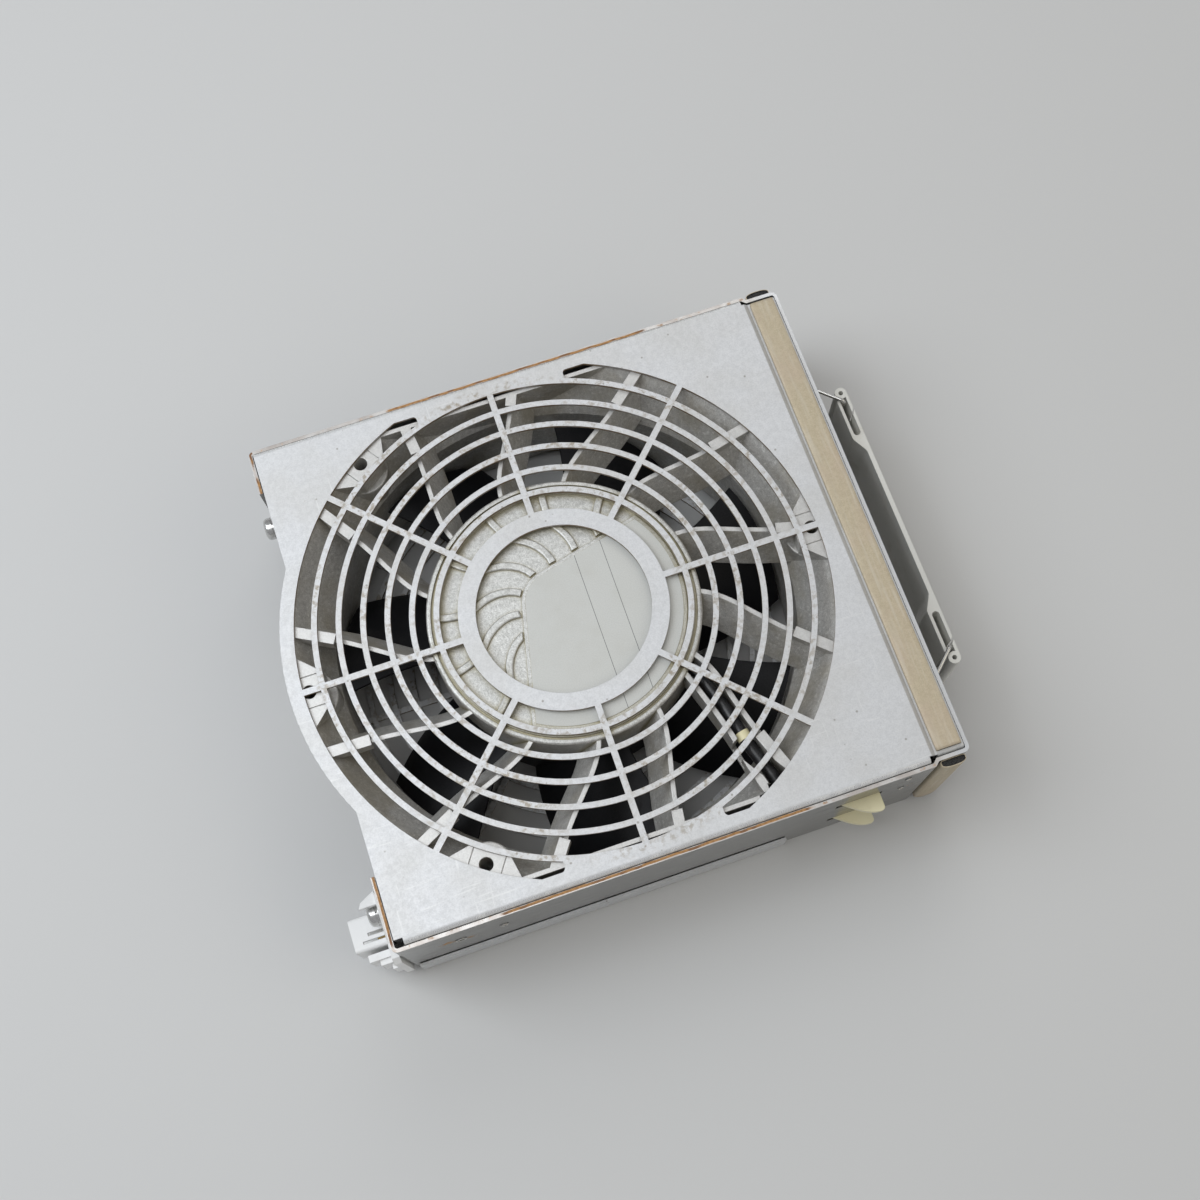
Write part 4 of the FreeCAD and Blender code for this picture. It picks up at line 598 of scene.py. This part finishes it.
# ---------------------------------------------------------------------------
# Shielding gaskets
# Conductive cloth wrapped over soft foam, stuck in the front recess on all four
# sides. The strips are crowned, a little uneven, and cut off square at their ends.
# ---------------------------------------------------------------------------
CLOTH_DARK, CLOTH_LIGHT = (0.445, 0.378, 0.262, 1), (0.555, 0.478, 0.345, 1)
CLOTH_WORN, CLOTH_PINK = (0.60, 0.55, 0.45, 1), (0.53, 0.415, 0.33, 1)
CLOTH_SOIL = (0.33, 0.27, 0.17, 1)
WEAVE_PITCH = 0.00042
STRIP_STEP, STRIP_RING = 0.0011, 36      # length of one step, points round the strip
PINCH, PINCH_STEPS = 0.05, 1.2           # share lost at the cut ends, and how fast it fades
SWELL, WAVES = 0.035, (310.0, 97.0)      # unevenness along the crown, radians per metre
FOOT_U, FOOT_V = 0.30, 0.22              # squareness of the glued side, 0 for a sharp corner
FOAM_U, FOAM_V, FOAM_IN = 0.955, 0.84, 0.0004      # the foam inside the cloth at a cut end
RECESS_Y = 0.0812                        # floor of the recess in the side walls

cloth, t, shader, P, N = finish_of("Conductive cloth", Specular_IOR_Level=0.4)
at = use(t, "Place", {"Vector": P})
threads = []
for axis in ("X", "Y", "Z"):
    wave = calc(t, "SINE", calc(t, "MULTIPLY", at[axis], 2 * math.pi / WEAVE_PITCH))
    threads.append(calc(t, "ABSOLUTE", wave))
weave = calc(t, "ADD", calc(t, "ADD", threads[0], threads[1]), threads[2])
grain = use(t, "Fine grain", {"Vector": P, "Scale": 2300.0})
haze = use(t, "Soft patches", {"Vector": P, "Scale": 42.0, "Low": 0.42, "High": 0.72})
long_way = put(t, "ShaderNodeMapping", {"Vector": P, "Scale": (9.0, 0.6, 0.6)}).outputs[0]
streak = noise(t, long_way, 95.0, 3.0)
base = mix(t, span(t, grain["Tone"], 0.3, 0.7), CLOTH_DARK, CLOTH_LIGHT)
base = mix(t, span(t, streak, 0.48, 0.70, 0.0, 0.55), base, CLOTH_WORN)
base = mix(t, both(t, haze["Mask"], 0.40), base, CLOTH_PINK)
base = mix(t, span(t, noise(t, P, 24.0, 2.0), 0.55, 0.72, 0.0, 0.35), base, CLOTH_SOIL)
surface(t, shader, base, rough=span(t, weave, 0.5, 2.5, 0.62, 0.50), height=weave,
        strength=0.16, depth=0.00008)
shader.inputs["Metallic"].default_value = 0.12

foam, t, shader, P, N = finish_of("Black foam core", Specular_IOR_Level=0.2)
bubbles = put(t, "ShaderNodeTexVoronoi", {"Vector": P, "Scale": 2600.0}).outputs["Distance"]
base = mix(t, span(t, bubbles, 0.1, 0.6), (0.012, 0.012, 0.013, 1), (0.045, 0.044, 0.042, 1))
surface(t, shader, base, rough=span(t, bubbles, 0.1, 0.6, 0.95, 0.8), height=bubbles,
        strength=0.6, depth=0.0002)


def solid_piece(name, verts, faces, mat, body):
    """Smooth mesh that rides on a CAD body."""
    me = bpy.data.meshes.new(name)
    me.from_pydata(verts, [], faces)
    me.validate()
    me.update()
    me.materials.append(mat)
    me.polygons.foreach_set("use_smooth", [True] * len(me.polygons))
    o = bpy.data.objects.new(name, me)
    scene.collection.objects.link(o)
    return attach(o, body)


def turn_faces_out(o):
    """Closed form: make every face look outwards."""
    bm = bmesh.new()
    bm.from_mesh(o.data)
    bmesh.ops.recalc_face_normals(bm, faces=bm.faces)
    bm.to_mesh(o.data)
    bm.free()


def soft_strip(name, node, low, high, along, out, sign, round_u, round_v):
    """Crowned strip between two corners: it runs along one axis and bulges out along another."""
    across = 3 - along - out
    steps = max(8, round((high[along] - low[along]) / STRIP_STEP))
    ring = STRIP_RING
    half = (high[across] - low[across]) / 2
    tall = high[out] - low[out]
    mid = (high[across] + low[across]) / 2
    foot = low[out] if sign > 0 else high[out]
    verts, faces = [], []

    def bridge(first, second):
        """Faces between two rings of points, given by their first points."""
        for j in range(ring):
            k = (j + 1) % ring
            faces.append((first + j, first + k, second + k, second + j))

    for i in range(steps + 1):
        w = low[along] + (high[along] - low[along]) * i / steps
        pinch = PINCH * math.exp(-min(i, steps - i) / PINCH_STEPS)
        wave = math.sin(w * WAVES[0]) * math.sin(w * WAVES[1] + 1.3)
        swell = 1.0 - pinch - SWELL * (0.5 + 0.5 * wave)
        for j in range(ring):
            a = 2 * math.pi * j / ring
            c, s = math.cos(a), math.sin(a)
            power_u, power_v, grow = (round_u, round_v, swell) if s > 0 else (FOOT_U, FOOT_V, 1.0)
            u = math.copysign(abs(c) ** power_u, c) * half * (1.0 - 0.5 * pinch)
            v = tall / 2 * (1.0 + math.copysign(abs(s) ** power_v, s) * grow)
            p = [0.0, 0.0, 0.0]
            p[across], p[out], p[along] = mid + u, foot + sign * v, w
            verts.append(tuple(p))
    for i in range(steps):
        bridge(i * ring, (i + 1) * ring)
    skin = len(faces)
    for rim, w, inward in ((0, low[along], 1), (steps * ring, high[along], -1)):
        inner = len(verts)
        for x in verts[rim:rim + ring]:
            p = list(x)
            p[across] = mid + (p[across] - mid) * FOAM_U
            middle = foot + sign * tall / 2
            p[out] = middle + (p[out] - middle) * FOAM_V
            verts.append(tuple(p))
        bridge(rim, inner)
        core = len(verts)
        for x in verts[inner:inner + ring]:
            p = list(x)
            p[along] = w + inward * FOAM_IN
            verts.append(tuple(p))
        bridge(inner, core)
        faces.append(tuple(core + j for j in range(ring)))
    o = solid_piece(name, verts, faces, cloth, "housing")
    me = o.data
    me.materials.append(foam)
    for f in me.polygons[skin:]:
        f.use_smooth = False
        if (f.index - skin) % (2 * ring + 1) >= ring:
            f.material_index = 1
    turn_faces_out(o)
    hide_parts(node)


# Each strip: axis along, axis out, which way, and how round its crown is (0 square, 1 round).
low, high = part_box("emi_gasket_top")
soft_strip("gasket_front_top", "emi_gasket_top", low, high, 1, 2, 1, 0.30, 0.42)
low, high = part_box("emi_gasket_bottom")
soft_strip("gasket_front_bottom", "emi_gasket_bottom", low, high, 1, 2, -1, 0.30, 0.42)
low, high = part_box("emi_gasket_sides")
soft_strip("gasket_front_left", "emi_gasket_sides", Vector((low.x, RECESS_Y, low.z)), high,
           2, 1, 1, 0.80, 1.0)
soft_strip("gasket_front_right", "emi_gasket_sides", low, Vector((high.x, -RECESS_Y, high.z)),
           2, 1, -1, 0.80, 1.0)

# ---------------------------------------------------------------------------
# Side latches
# Cream acetal levers on steel pins. Their fins stand out through slots in the side
# walls, and a torsion spring on each pin pushes them out again.
# ---------------------------------------------------------------------------
dress("latch_lever_right latch_lever_left", cream)
spring_wire = metal_finish("Bright spring wire", (0.62, 0.61, 0.59, 1), (0.74, 0.73, 0.71, 1), 0.18)
dress("latch_springs", spring_wire)

# ---------------------------------------------------------------------------
# Pull grip and its wire links
# Off-white moulded bar with a slot and a barrel at each end. Two bent wires join it
# to the brackets and let it fold against the front.
# ---------------------------------------------------------------------------
grip_white = moulded_finish("Off-white grip plastic", (0.66, 0.655, 0.615, 1),
                            (0.73, 0.725, 0.685, 1), 0.40, (0.42, 0.39, 0.30, 1), 0.35)
dress("pull_grip", grip_white)
dress("wire_link_right wire_link_left", spring_wire)

# ---------------------------------------------------------------------------
# Floor, light and camera
# Plain pale floor, cool light from the rear left and overhead, a weaker warm lamp
# at the right front, and a camera above the outlet side.
# ---------------------------------------------------------------------------
FLOOR_HALF, FLOOR_Z, FLOOR_TONE = 3.0, -0.0004, (0.60, 0.60, 0.595, 1)
MIDDLE = (0, 0, 0.03)                    # the lamps point here

floor_me = bpy.data.meshes.new("floor")
corners = [(x * FLOOR_HALF, y * FLOOR_HALF, FLOOR_Z)
           for x, y in ((-1, -1), (1, -1), (1, 1), (-1, 1))]
floor_me.from_pydata(corners, [], [(0, 1, 2, 3)])
floor = bpy.data.objects.new("floor", floor_me)
scene.collection.objects.link(floor)
pale_floor = finish_of("Pale floor", Roughness=0.8)[0]
pale_floor.node_tree.nodes["Principled BSDF"].inputs["Base Color"].default_value = FLOOR_TONE
floor_me.materials.append(pale_floor)

world = bpy.data.worlds.new("Studio")
scene.world = world
world.use_nodes = True
sky = world.node_tree.nodes["Background"]
sky.inputs["Color"].default_value = (0.965, 0.975, 1.0, 1)
sky.inputs["Strength"].default_value = 0.36


def lamp(name, place, size, power, color):
    """Square area lamp aimed at the middle of the module."""
    data = bpy.data.lights.new(name, "AREA")
    data.shape = "RECTANGLE"
    data.size = data.size_y = size
    data.energy = power
    data.color = color
    o = bpy.data.objects.new(name, data)
    o.location = place
    o.rotation_euler = (Vector(MIDDLE) - Vector(place)).to_track_quat("-Z", "Y").to_euler()
    scene.collection.objects.link(o)


lamp("key", (-0.62, 0.25, 0.80), 0.6, 4.0, (0.89, 0.945, 1.0))
lamp("fill", (0.85, -0.50, 0.9), 0.9, 2.0, (1.0, 0.91, 0.70))
lamp("back", (0.30, 0.80, 0.85), 0.6, 1.6, (1.0, 0.99, 0.97))
lamp("top", (-0.36, 0.08, 1.35), 0.8, 4.5, (0.96, 0.98, 1.0))

LENS = 45.06
TILT, ROLL, TURN = -18.125, -1.203, 18.759                       # degrees
OUTLET = Vector((0, 0, 0.0532))                                  # centre of the outlet face
AIM = Vector((-0.01107684, -0.00217881, -0.45886624))            # the same point from the camera
cam_data = bpy.data.cameras.new("camera")
cam_data.sensor_width = 36.0
cam_data.lens = LENS
cam_data.clip_start = 0.01
cam = bpy.data.objects.new("camera", cam_data)
turn = (Matrix.Rotation(math.radians(TILT), 3, "X") @ Matrix.Rotation(math.radians(ROLL), 3, "Y")
        @ Matrix.Rotation(math.radians(TURN), 3, "Z"))
back = turn.transposed()
cam.matrix_world = Matrix.Translation(OUTLET - back @ AIM) @ back.to_4x4()
scene.collection.objects.link(cam)
scene.camera = cam
scene.view_settings.view_transform = "Standard"
